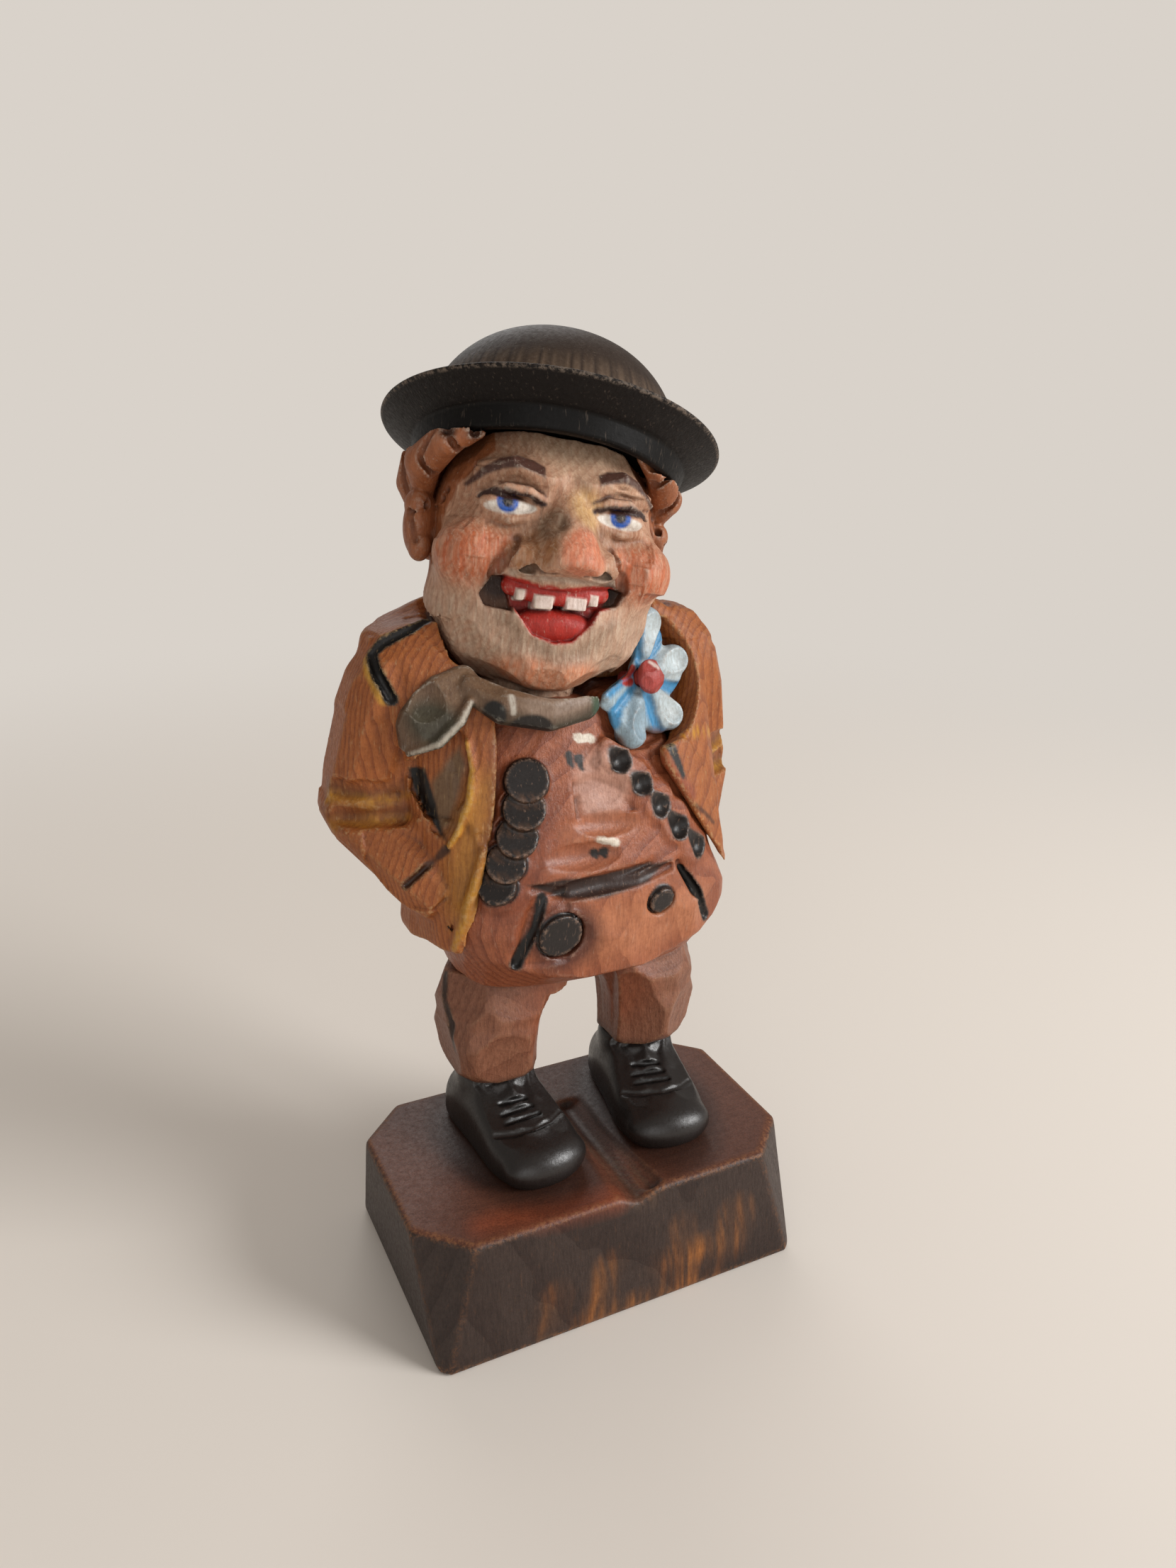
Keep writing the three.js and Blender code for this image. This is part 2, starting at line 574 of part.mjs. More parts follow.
// Stations up the head as shares: height, half width, and depth in front of and behind the neck's axis.
const HEAD_STATIONS = [
  { rise: 0.02, half: 0.36, front: 0.86, back: -0.25 },
  { rise: 0.09, half: 0.66, front: 0.94, back: 0.22 },
  { rise: 0.18, half: 0.82, front: 0.97, back: 0.6 },
  { rise: 0.27, half: 0.92, front: 0.99, back: 0.82 },
  { rise: 0.4, half: 0.985, front: 1, back: 0.95 },
  { rise: 0.53, half: 1, front: 1, back: 1 },
  { rise: 0.66, half: 0.99, front: 0.97, back: 1.02 },
  { rise: 0.8, half: 0.97, front: 0.93, back: 1 },
  { rise: 0.9, half: 0.93, front: 0.88, back: 0.94 },
  { rise: 1, half: 0.86, front: 0.79, back: 0.84 },
].map(({ rise, half, front, back }) => ({
  z: HEAD_HEIGHT * rise,
  half: HEAD_HALF_WIDTH * half,
  front: HEAD_HALF_DEPTH * front,
  back: HEAD_HALF_DEPTH * back,
}));

// Carved features: each raises or hollows the front round a place on it, in millimetres.
const FEATURES = [
  { x: 14, z: 22.5, wide: 4.8, tall: 4.6, rise: 2.6, pair: true }, // cheeks
  { x: 9.5, z: 36.4, wide: 6.5, tall: 2.2, rise: 1.5, pair: true }, // brows
  { x: 9.6, z: 31, wide: 5, tall: 2.4, rise: -3, pair: true }, // eye sockets
  { x: 0, z: 8.4, wide: 6, tall: 1.6, rise: 1.3 }, // lower lip
  { x: 0, z: 4.2, wide: 6.5, tall: 2.6, rise: 1.4 }, // chin
];

function featureRise(x, z) {
  const bump = (f, px) => f.rise * Math.exp(-(((x - px) / f.wide) ** 2) - ((z - f.z) / f.tall) ** 2);
  return FEATURES.reduce((sum, f) => sum + bump(f, f.x) + (f.pair ? bump(f, -f.x) : 0), 0);
}

// The head's section at a height, straight between the stations.
function headStation(z) {
  const upper = Math.max(1, HEAD_STATIONS.findIndex((s) => s.z >= z - 1e-6));
  const [a, b] = [HEAD_STATIONS[upper - 1], HEAD_STATIONS[upper]];
  const mix = (key) => THREE.MathUtils.lerp(a[key], b[key], (z - a.z) / (b.z - a.z));
  return { half: mix('half'), front: mix('front'), back: mix('back') };
}

const CHIN_Z = HEAD_STATIONS[0].z;
const headLevels = (count) =>
  Array.from({ length: count }, (_, i) => THREE.MathUtils.lerp(CHIN_Z, HEAD_HEIGHT, i / (count - 1)));

function headRing(z, grow) {
  const { half, front, back } = headStation(z);
  const depth = (front + back) / 2 + grow;
  const middle = (back - front) / 2;
  const ring = ovalRing({ y: middle, z, half: half + grow, front: depth, square: 2.15, sides: 32 });
  ring.forEach((p) => {
    const facing = THREE.MathUtils.clamp(-p.y / 6, 0, 1);
    p.y -= featureRise(p.x, p.z) * facing;
  });
  return ring;
}

const headSkin = (grow = 0) => solidOf(loft(headLevels(24).map((z) => headRing(z, grow))));

// A laughing mouth, cut back from the lips, with four teeth left standing under the upper lip.
function mouth() {
  const lip = 18.4; // middle of the upper lip's edge
  const w = MOUTH_HALF_WIDTH;
  const outline = [
    [-w, lip - 0.6], [-w * 0.78, lip - 4], [-w * 0.42, lip - 7.2], [0, lip - 8.6], [w * 0.42, lip - 7.2],
    [w * 0.78, lip - 4], [w, lip - 0.6], [w * 0.5, lip + 0.6], [0, lip], [-w * 0.5, lip + 0.6],
  ];
  const cut = frontPrism(outline, -FAR, 0).subtract(headSkin(-MOUTH_CUT));
  const edge = lip - TOOTH_HEIGHT;
  const teeth = [[-7.4, -5.6], [-4.2, -1.2], [1.6, 4.6], [5.4, 7.2]].map(([from, to]) =>
    frontPrism([[from, edge], [to, edge], [to, lip + 1], [from, lip + 1]], -FAR, 0)
      .intersect(headSkin(-MOUTH_CUT / 3)));
  return teeth.reduce((hollow, tooth) => hollow.subtract(tooth), cut);
}

// Lumps left standing on the head: the eyes under their lids, and the ears.
const LUMPS = [
  { x: 9.6, y: -14.2, z: 30.6, out: 4.4, along: 2.8, up: 2.2, shift: 0 }, // eyes
  { x: 20.8, y: 0.8, z: 26.6, out: 3, along: 4.4, up: 6, shift: HAIR_SHIFT }, // ears
];

// The nose in sections down from the bridge: a broad wedge with spread nostrils and a full tip.
const NOSE_SECTIONS = [
  { x: -0.4, z: 35, half: 2, front: 16.6 },
  { x: -0.2, z: 31, half: 3, front: 19 },
  { x: 0.2, z: 28, half: 4.2, front: 22 },
  { x: 0.6, z: 25.4, half: 6.4, front: NOSE_REACH },
  { x: 0.4, z: 23, half: 9.2, front: NOSE_REACH - 1.4 },
  { x: 0.2, z: 20.8, half: 8.4, front: 19.4 },
];
const NOSE_ROOT = 12; // depth in the face of the nose's back

function nose() {
  return solidOf(loft(NOSE_SECTIONS.toReversed().map(({ x, z, half, front }) =>
    ovalRing({ x, y: -NOSE_ROOT, z, half, front: front - NOSE_ROOT, back: 2, square: 1.6, sides: 14 }))));
}

// The laughing folds from the nostrils down past the corners of the mouth.
function smileFold(side) {
  const place = ([x, y, z, radius]) => ({ at: [side * x, y, z], radius });
  return limb([[10.6, -19.6, 26.6, 1], [12, -18.6, 22, 1.5], [14, -17, 17.6, 1.2]].map(place), 7);
}

// Locks of hair on his left, from the temple round to the back; his right has the same.
const LOCKS = [
  [[15, -12.5, 42.3, 1.8], [19, -9, 39.7, 2.8], [21.4, -3.5, 36.1, 3.1], [20.6, 0.3, 32.4, 2]],
  [[19.5, -3, 41.2, 2.4], [21.5, 2.1, 38.1, 3], [21.9, 6.1, 33.7, 3], [20.3, 9.2, 29.5, 2]],
  [[18.4, 6, 40, 2.6], [19.2, 10, 35, 3.1], [18.4, 13, 29, 3.1], [17, 13.6, 23, 2]],
  [[14, 12.5, 38, 3], [13.4, 16, 32, 3.1], [12.4, 16.2, 26, 3], [11.4, 15, 20.5, 2]],
  [[6, 16, 36, 3], [5, 18, 30, 3.1], [5.6, 17.8, 25, 3], [4.8, 16.2, 20, 2]],
];

function hair(side) {
  const place = ([x, y, z, radius]) => ({ at: [side * x + HAIR_SHIFT, y, z], radius });
  return LOCKS.map((lock) => limb(lock.map(place), 7));
}

function lump({ x, y, z, out, along, up, shift }, side) {
  const geometry = new THREE.SphereGeometry(1, 11, 7);
  geometry.scale(out, along, up);
  geometry.translate(side * x + shift, y, z);
  return solidOf(geometry);
}

function head() {
  const neck = solidOf(rod(NECK_RADIUS, HEAD_HEIGHT * 0.3));
  const sides = [-1, 1];
  const beside = (side) => [...LUMPS.map((form) => lump(form, side)), ...hair(side)];
  const standing = [nose(), ...sides.flatMap(beside)];
  const rough = standing.reduce((body, piece) => body.add(piece), headSkin().add(neck));
  const carved = sides.map(smileFold).reduce((body, fold) => body.subtract(fold), rough.subtract(mouth()));
  const aboveSeat = box([-FAR, -FAR, HAT_SEAT_DEPTH - GLUE_GAP], [FAR, FAR, FAR]).applyMatrix4(hatPlace);
  const hollows = [solidOf(aboveSeat), hatForm(GLUE_GAP), neckBore(), hatDowelHole()];
  return hollows.reduce((body, hollow) => body.subtract(hollow), carved);
}

// The hollow that the clothes leave under the head: the jaw's reach on each bearing that it swings through.
function headHollow() {
  const swept = (z, level = z) => {
    const polar = (p) => ({ bearing: Math.atan2(p.y, p.x), reach: Math.hypot(p.x, p.y) });
    const jaw = headRing(z, HEAD_CLEARANCE).map(polar);
    return Array.from({ length: 32 }, (_, i) => {
      const turn = (2 * Math.PI * (i + 0.5)) / 32;
      const near = jaw.filter(({ bearing }) => Math.cos(bearing - turn) > Math.cos(HEAD_SWING));
      const reach = Math.max(NECK_RADIUS + HEAD_CLEARANCE, ...near.map((p) => p.reach));
      return new THREE.Vector3(reach * Math.cos(turn), reach * Math.sin(turn), level);
    });
  };
  const levels = headLevels(13).slice(0, 6);
  const wide = (z) => ovalRing({ z, half: EAR_REACH, front: EAR_REACH, square: 2, sides: 32 });
  const bowl = [swept(CHIN_Z, -NECK_GAP), ...levels.map((z) => swept(z))];
  return solidOf(loft([...bowl, wide(EAR_FOOT), wide(HEAD_HEIGHT)]).applyMatrix4(headPlace));
}

// The neck dowel is glued into the torso, and the head turns on it.
const neckRod = (slack) => rod(NECK_DOWEL_RADIUS + slack, NECK_DOWEL_LENGTH + 2 * slack, {
  z: -NECK_DOWEL_LENGTH / 2 - slack,
});
const neckDowel = () => solidOf(neckRod(0));
const neckBore = () => solidOf(neckRod(BORE_GAP));
const neckHole = () => solidOf(neckRod(DOWEL_GAP).applyMatrix4(headPlace));

// Hat: turned on a lathe, with a flared brim and a recess that seats on the tipped top of the head

const hatPlace = new THREE.Matrix4().makeRotationFromEuler(new THREE.Euler(HAT_TIP, HAT_ROLL, 0, 'YXZ'));
hatPlace.setPosition(HAT_X, HAT_Y, HEAD_HEIGHT - HAT_DROP);

const hatRod = (slack) => rod(HAT_DOWEL_RADIUS + slack, HAT_DOWEL_LENGTH + 2 * slack, {
  z: HAT_SEAT_DEPTH - HAT_DOWEL_LENGTH / 2 - slack,
}).applyMatrix4(hatPlace);
const hatDowel = () => solidOf(hatRod(0));
const hatDowelHole = () => solidOf(hatRod(DOWEL_GAP));

// The hat's turned form, grown outwards by a gap for what it must clear.
function hatForm(grow = 0) {
  const seat = HAT_SEAT_RADIUS - grow;
  const seatZ = HAT_SEAT_DEPTH - grow;
  const foot = BRIM_RADIUS - BRIM_FLARE;
  const lip = BAND_HEIGHT + BRIM_RISE;
  const crownFoot = lip - 1.5;
  const crownRise = CROWN_HEIGHT + 1.5;
  const crown = Array.from({ length: 7 }, (_, i) => {
    const turn = (Math.PI / 2) * (i / 7);
    return [CROWN_RADIUS * Math.cos(turn) ** 0.85, crownFoot + crownRise * Math.sin(turn)];
  });
  const profile = [
    [0, seatZ], [seat, seatZ], [seat + 0.4, -grow],
    [BAND_RADIUS + grow, -grow], [foot + grow, BAND_HEIGHT - grow],
    [BRIM_RADIUS - 0.5 + grow, lip - 0.9], [BRIM_RADIUS + grow, lip - 0.4], [BRIM_RADIUS - 0.4 + grow, lip],
    [BRIM_RADIUS - 2.2, lip], [CROWN_RADIUS + 0.8, crownFoot], ...crown, [0, crownFoot + crownRise],
  ].map(([r, z]) => new THREE.Vector2(r, z));
  const turned = new THREE.LatheGeometry(profile, 40).rotateX(Math.PI / 2);
  return solidOf(turned.applyMatrix4(hatPlace));
}

const hat = () => hatForm().subtract(hatDowelHole());

// Flower: a carved rosette pinned to the left lapel by a peg whose red head is its middle

const flowerPlace = new THREE.Matrix4().lookAt(
  new THREE.Vector3(0.36, -0.9, 0.24), new THREE.Vector3(), new THREE.Vector3(0, 0, 1),
).setPosition(FLOWER_X, FLOWER_Y, HIP_Z + FLOWER_RISE);

// The clear space in front of the flower's back, which the clothes leave for it.
function flowerSeat() {
  const clear = rod(FLOWER_RADIUS + GLUE_GAP, FAR, { z: -GLUE_GAP, sides: 32 });
  return solidOf(clear.applyMatrix4(flowerPlace));
}

function flower() {
  const sides = PETAL_COUNT * 6;
  const petalRing = (share, z, notch, dip) => Array.from({ length: sides }, (_, i) => {
    const turn = (2 * Math.PI * i) / sides;
    const lobe = Math.abs(Math.cos((PETAL_COUNT * turn) / 2));
    const reach = FLOWER_RADIUS * share * (1 - notch * (1 - lobe));
    return new THREE.Vector3(reach * Math.cos(turn), reach * Math.sin(turn), z - dip * (1 - lobe));
  });
  const rosette = solidOf(loft([
    petalRing(0.86, 0, 0.16, 0), petalRing(1, FLOWER_THICKNESS * 0.5, 0.2, 0.4),
    petalRing(0.88, FLOWER_THICKNESS, 0.22, 1.4), petalRing(0.36, DISH_Z, 0.1, 0.5),
  ]).applyMatrix4(flowerPlace));
  return rosette.subtract(pegHole()).subtract(headHollow());
}

// The flower's dished middle, where the head of the peg sits.
const DISH_Z = FLOWER_THICKNESS * 0.75;

function pegShank(slack) {
  const length = PEG_DEPTH + DISH_Z + PEG_HEAD_RADIUS / 2 + slack;
  const shank = rod(PEG_RADIUS + slack, length, { z: -PEG_DEPTH - slack, sides: 14 });
  return solidOf(shank.applyMatrix4(flowerPlace));
}
const pegHole = () => pegShank(DOWEL_GAP);

function flowerPeg() {
  const knob = new THREE.SphereGeometry(PEG_HEAD_RADIUS, 14, 10);
  knob.scale(1, 1, 0.6);
  knob.translate(0, 0, DISH_Z + PEG_HEAD_RADIUS * 0.6 + GLUE_GAP);
  return solidOf(knob.applyMatrix4(flowerPlace)).add(pegShank(0));
}

// Assembly

const figurine = new THREE.Group();
figurine.add(meshOf('plinth', plinth(), wood('#4b2d22')));
for (const [name, side] of [['right', -1], ['left', 1]]) {
  figurine.add(
    meshOf(`${name}_shoe`, shoe(side), wood('#211f1f', 0.35)),
    meshOf(`${name}_trouser_leg`, trouserLeg(side), wood('#7b5440')),
    meshOf(`${name}_leg_dowel`, legDowel(side), wood('#d2ab7a', 0.7)),
    meshOf(`${name}_jacket_half`, jacketHalf(side), wood('#a86f30')),
    meshOf(`${name}_arm_dowel`, armDowel(side), wood('#d2ab7a', 0.7)),
  );
}
figurine.add(
  meshOf('torso', torso(), wood('#a5643f')),
  meshOf('neckerchief', neckerchief(), wood('#6e6556')),
  meshOf('flower', flower(), wood('#8fb7c9')),
  meshOf('flower_peg', flowerPeg(), wood('#a8464a')),
);

const headGroup = new THREE.Group();
headGroup.applyMatrix4(headPlace);
headGroup.add(
  meshOf('head', head(), wood('#c59a7c')),
  meshOf('hat', hat(), wood('#2b2826')),
  meshOf('hat_dowel', hatDowel(), wood('#d2ab7a', 0.7)),
  meshOf('neck_dowel', neckDowel(), wood('#d2ab7a', 0.7)),
);
figurine.add(headGroup);

export default figurine;
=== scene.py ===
# Looks of the carved man figurine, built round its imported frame.
# Carving and painting are worked out in millimetres, and each finished mesh is in metres.
import json
import math

import bmesh
import bpy
import numpy as np
import openvdb
from mathutils import Euler, Matrix, Vector


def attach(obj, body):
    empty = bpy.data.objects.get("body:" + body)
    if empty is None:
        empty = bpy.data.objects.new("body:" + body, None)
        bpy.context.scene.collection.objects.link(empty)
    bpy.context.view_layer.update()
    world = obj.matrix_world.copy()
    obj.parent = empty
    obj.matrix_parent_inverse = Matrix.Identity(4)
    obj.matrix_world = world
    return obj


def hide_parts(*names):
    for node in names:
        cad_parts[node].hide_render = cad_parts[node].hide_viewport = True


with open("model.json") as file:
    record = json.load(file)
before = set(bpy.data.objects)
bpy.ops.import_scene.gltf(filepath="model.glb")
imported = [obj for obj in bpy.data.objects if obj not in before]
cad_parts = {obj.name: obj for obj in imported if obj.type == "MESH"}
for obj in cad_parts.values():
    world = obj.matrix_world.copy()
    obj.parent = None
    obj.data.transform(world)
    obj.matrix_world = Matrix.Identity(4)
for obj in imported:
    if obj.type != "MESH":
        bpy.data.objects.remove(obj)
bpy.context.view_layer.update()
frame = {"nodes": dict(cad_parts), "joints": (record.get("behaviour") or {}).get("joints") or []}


# Plinth: one block of softwood, sawn to size, its corners cut away with a knife.
# The top is stained red-brown and the sides nearly black, and both are rubbed bare in places.
# The legs are dowelled into it, and the carver's gouge left a furrow between the shoes.
BAND_MM = 6.0  # distances in a carving are kept this far from its surface
scene = bpy.context.scene
dice = np.random.default_rng(11)  # for the unevenness of handwork


class Carving:
    """Wood as a field of distances to its surface, in millimetres: inside the wood they are negative.
    Knife cuts that run into each other all over a form are made in it, which bmesh operators can't give."""

    def __init__(self, low, high, step):
        self.step = step
        self.first = np.floor(np.array(low) / step).astype(int)
        size = np.ceil(np.array(high) / step).astype(int) - self.first + 1
        self.field = np.full(size, BAND_MM, np.float32)

    @classmethod
    def of_node(cls, name, step, turn=Matrix.Identity(4)):
        """The blank that a piece is carved from: its solid in the frame, seen from a frame of its own."""
        solid = frame["nodes"][name].data
        solid.calc_loop_triangles()
        points = np.array([turn @ (v.co * 1000) for v in solid.vertices], np.float32)
        corners = np.array([t.vertices for t in solid.loop_triangles], np.uint32)
        blank = cls(points.min(0) - 4, points.max(0) + 4, step)
        spacing = openvdb.createLinearTransform(step)
        skin = openvdb.FloatGrid.createLevelSetFromPolygons(
            points, triangles=corners, transform=spacing, halfWidth=BAND_MM / step)
        skin.copyToArray(blank.field, ijk=tuple(int(i) for i in blank.first))
        return blank

    def window(self, low=-999, high=999):
        """The stretch of the field inside a box, or all of it, and the places of its points."""
        start = np.clip(np.floor(np.array(low) / self.step).astype(int) - self.first, 0, self.field.shape)
        stop = np.clip(np.ceil(np.array(high) / self.step).astype(int) - self.first + 1, 0, self.field.shape)
        axes = [(np.arange(a, b) + f) * self.step for a, b, f in zip(start, stop, self.first)]
        places = np.stack(np.meshgrid(*axes, indexing="ij"), axis=-1).astype(np.float32)
        return self.field[tuple(map(slice, start, stop))], places

    def add(self, shape, blend=0.0):
        """Leaves a shape standing on the wood, with the corner between them rounded over a width."""
        low, high, distance = shape
        wood, places = self.window(low - 2 * blend - 1, high + 2 * blend + 1)
        wood[...] = blended(wood, distance(places), blend)

    def cut(self, shape, blend=0.0):
        """Takes a shape out of the wood."""
        low, high, distance = shape
        wood, places = self.window(low - 2 * blend - 1, high + 2 * blend + 1)
        wood[...] = -blended(-wood, distance(places), blend)

    def soften(self, reach, loss=0.3):
        """Rounds every edge, as scraping and handling do, and takes no more than a loss off a thin part."""
        sharp = self.field
        half = max(1, round(reach / self.step))
        for axis in (0, 1, 2, 0, 1, 2):
            padding = [(half + 1, half) if a == axis else (0, 0) for a in range(3)]
            total = np.cumsum(np.pad(self.field, padding, mode="edge"), axis=axis, dtype=np.float64)
            count = self.field.shape[axis]
            above = np.take(total, range(2 * half + 1, 2 * half + 1 + count), axis)
            below = np.take(total, range(count), axis)
            self.field = ((above - below) / (2 * half + 1)).astype(np.float32)
        self.field = np.minimum(self.field, sharp + loss)

    def clear(self, other, gap, turn=Matrix.Identity(4)):
        """Takes away what comes nearer than a gap to another carving, once this one has been turned."""
        _, places = self.window()
        places = places @ np.array(turn.to_3x3()).T + np.array(turn.translation)
        index = np.round(places / other.step).astype(int) - other.first
        within = np.all((index >= 0) & (index < other.field.shape), axis=-1)
        near = np.full(self.field.shape, BAND_MM, np.float32)
        near[within] = other.field[tuple(index[within].T)]
        self.field = np.maximum(self.field, gap - near)

    def face(self, at, direction, reach=60):
        """Where a line from a point out of the wood leaves it, and the surface's normal there."""
        line = np.array(at) + np.arange(0, reach, self.step / 2)[:, None] * np.array(direction)
        index = np.round(line / self.step).astype(int) - self.first
        index = np.clip(index, 2, np.array(self.field.shape) - 3)
        along = self.field[tuple(index.T)]
        last = len(along) - 1 - np.argmax(along[::-1] < max(0, along.min() + 0.1))
        i, j, k = index[last]
        field = self.field
        slope = np.array([field[i + 2, j, k] - field[i - 2, j, k],
                          field[i, j + 2, k] - field[i, j - 2, k],
                          field[i, j, k + 2] - field[i, j, k - 2]])
        return line[last], slope / np.linalg.norm(slope)

    def shave(self, at, direction, depth, bow=30.0, reach=9.0):
        """One knife stroke where a line from a point leaves the wood: a hollow bowed to a radius, and
        nowhere deeper than a depth."""
        place, normal = self.face(at, direction)
        wood, places = self.window(place - reach, place + reach)
        hollow = bow - np.linalg.norm(places - place - normal * (bow - depth), axis=-1)
        wood[...] = np.maximum(wood, np.minimum(hollow, wood + depth))

    def whittle(self, middle, count, depth, bow, reach):
        """Small knife strokes all over, in every direction from a point inside the wood."""
        for direction in dice.normal(size=(count, 3)):
            self.shave(middle, direction / np.linalg.norm(direction), depth, bow, reach)

    def gouge(self, path, radius, depth, direction=(0, -1, 0)):
        """A furrow over a path of points inside the wood, cut from one direction. Returns what was cut."""
        seats = [self.face(p, direction) for p in path]
        radii = np.broadcast_to(radius, len(path))
        furrow = stick([place + normal * (r - depth) for (place, normal), r in zip(seats, radii)], radii)
        self.cut(furrow)
        return furrow

    def mesh(self, name, turn=Matrix.Identity(4)):
        """The finished surface as a mesh in metres, put back from the carving's own frame."""
        grid = openvdb.FloatGrid(BAND_MM)
        grid.copyFromArray(self.field)
        grid.transform = openvdb.createLinearTransform(self.step)
        points, quads = grid.convertToQuads()
        points = (points + self.first * self.step) @ np.array(turn.to_3x3()).T + np.array(turn.translation)
        skin = bpy.data.meshes.new(name)
        skin.from_pydata((points / 1000).tolist(), [], quads.tolist())
        skin.shade_smooth()
        return skin


def blended(a, b, width):
    """The lesser of two fields, with the corner between them rounded over a width."""
    share = np.clip(0.5 + 0.5 * (b - a) / max(width, 1e-6), 0, 1)
    return b + (a - b) * share - width * share * (1 - share)


def ball(at, radii, turn=(0, 0, 0)):
    """An egg shape: its middle, its three half axes, and its turn in degrees."""
    at, radii = np.array(at, float), np.array(radii, float)
    axes = np.array(Euler(np.radians(turn)).to_matrix())

    def distance(p):
        q = ((p - at) @ axes) / radii
        k = np.linalg.norm(q, axis=-1)
        return k * (k - 1) / np.maximum(np.linalg.norm(q / radii, axis=-1), 1e-6)
    return at - radii.max(), at + radii.max(), distance


def stick(path, radii):
    """A round bar bent along a path, with one radius or a radius for each point."""
    path = np.array(path, float)
    radii = np.broadcast_to(radii, len(path))

    def distance(p):
        spans = []
        for a, b, ra, rb in zip(path, path[1:], radii, radii[1:]):
            run = b - a
            share = np.clip((p - a) @ run / (run @ run), 0, 1)
            spans.append(np.linalg.norm(p - a - share[..., None] * run, axis=-1) - ra - (rb - ra) * share)
        return np.min(spans, axis=0)
    return path.min(0) - radii.max(), path.max(0) + radii.max(), distance


class Coat:
    """Stain and paint on a piece, laid on stroke by stroke at every point of its mesh."""

    def __init__(self, skin, stain, turn=Matrix.Identity(4), hides=1.0):
        self.skin, self.hides = skin, hides
        count = len(skin.vertices)
        places = np.empty(count * 3, np.float32)
        normals = np.empty(count * 3, np.float32)
        skin.vertices.foreach_get("co", places)
        skin.vertex_normals.foreach_get("vector", normals)
        axes = np.array(turn.to_3x3())
        self.places = (places.reshape(-1, 3) * 1000 - np.array(turn.translation)) @ axes
        self.normals = normals.reshape(-1, 3) @ axes
        self.colour = np.tile([*linear(stain), 0.0], (count, 1))

    def lay(self, paint, mask, cover=1.0):
        """One layer of paint where a mask of 0 to 1 says. Thick paint hides the grain; a wash doesn't."""
        mask = (mask * cover)[:, None]
        self.colour = self.colour * (1 - mask) + np.array([*linear(paint), self.hides]) * mask

    def dab(self, paint, shape, soft=0.4, cover=1.0, over=0.4):
        """Paint on every point inside a shape or just over it, fading over a width at its edge."""
        self.lay(paint, np.clip(0.5 - (shape[2](self.places) - over) / soft, 0, 1), cover)

    def stroke(self, paint, path, width, soft=0.3, cover=1.0):
        """A brush stroke along a path near the surface, with one width or a width for each point."""
        path = np.array(path, float)
        marks = np.linspace(0, len(path) - 1, 12 * len(path))
        close = np.stack([np.interp(marks, range(len(path)), path[:, k]) for k in range(3)], 1)
        seats = [self.places[np.argmin(((self.places - p) ** 2).sum(1))] for p in close]
        seats = [s + 0.001 * i for i, s in enumerate(seats)]  # no two alike, so that every span has a length
        widths = np.interp(marks, range(len(path)), np.broadcast_to(width, len(path)))
        self.dab(paint, stick(seats, widths / 2), soft, cover, 0.0)

    def facing(self, direction, least=0.0, full=0.5):
        """A mask of the points whose surface looks one way."""
        return np.clip((self.normals @ np.array(direction) - least) / (full - least), 0, 1)

    def brushed(self, mm):
        """A mask of upright brush marks about as wide as a size, for paint rubbed thin along the grain."""
        x, y, z = self.places.T / mm
        sway = 1.3 * np.sin(0.21 * z + 0.9 * x) + 0.8 * np.sin(0.55 * z + 0.7 * y)
        return np.clip(0.5 + 0.4 * np.sin(2.3 * x + sway) + 0.4 * np.sin(5.9 * x + 3.1 * y + 2 * sway), 0, 1)

    def done(self, spread=10, rubbed=None):
        """Writes the colours for the material, and how far each point stands out of its surroundings."""
        skin, count = self.skin, len(self.places)
        ends = np.empty(len(skin.edges) * 2, np.int32)
        skin.edges.foreach_get("vertices", ends)
        a, b = ends.reshape(-1, 2).T
        around = np.bincount(ends, minlength=count)[:, None]
        level = self.places
        for _ in range(spread):
            sums = [np.bincount(a, level[b, k], count) + np.bincount(b, level[a, k], count)
                    for k in range(3)]
            level = (level + np.stack(sums, 1) / around) / 2
        out = ((self.places - level) * self.normals).sum(1) if rubbed is None else rubbed
        paint = skin.attributes.new("paint", "FLOAT_COLOR", "POINT")
        paint.data.foreach_set("color", self.colour.astype(np.float32).ravel())
        worn = skin.attributes.new("worn", "FLOAT", "POINT")
        worn.data.foreach_set("value", out.astype(np.float32))


def linear(colour):
    """A written sRGB colour as linear red, green and blue."""
    parts = [int(colour[i:i + 2], 16) / 255 for i in (1, 3, 5)]
    return [c / 12.92 if c <= 0.04045 else ((c + 0.055) / 1.055) ** 2.4 for c in parts]


def add(tree, kind, links=None, **settings):
    """Adds a node: links fills its inputs, by name or number, with values or with other nodes' outputs."""
    node = tree.nodes.new("ShaderNode" + kind)
    for key, value in settings.items():
        setattr(node, key, value)
    for key, value in (links or {}).items():
        if isinstance(value, bpy.types.NodeSocket):
            tree.links.new(value, node.inputs[key])
        else:
            node.inputs[key].default_value = value
    return node


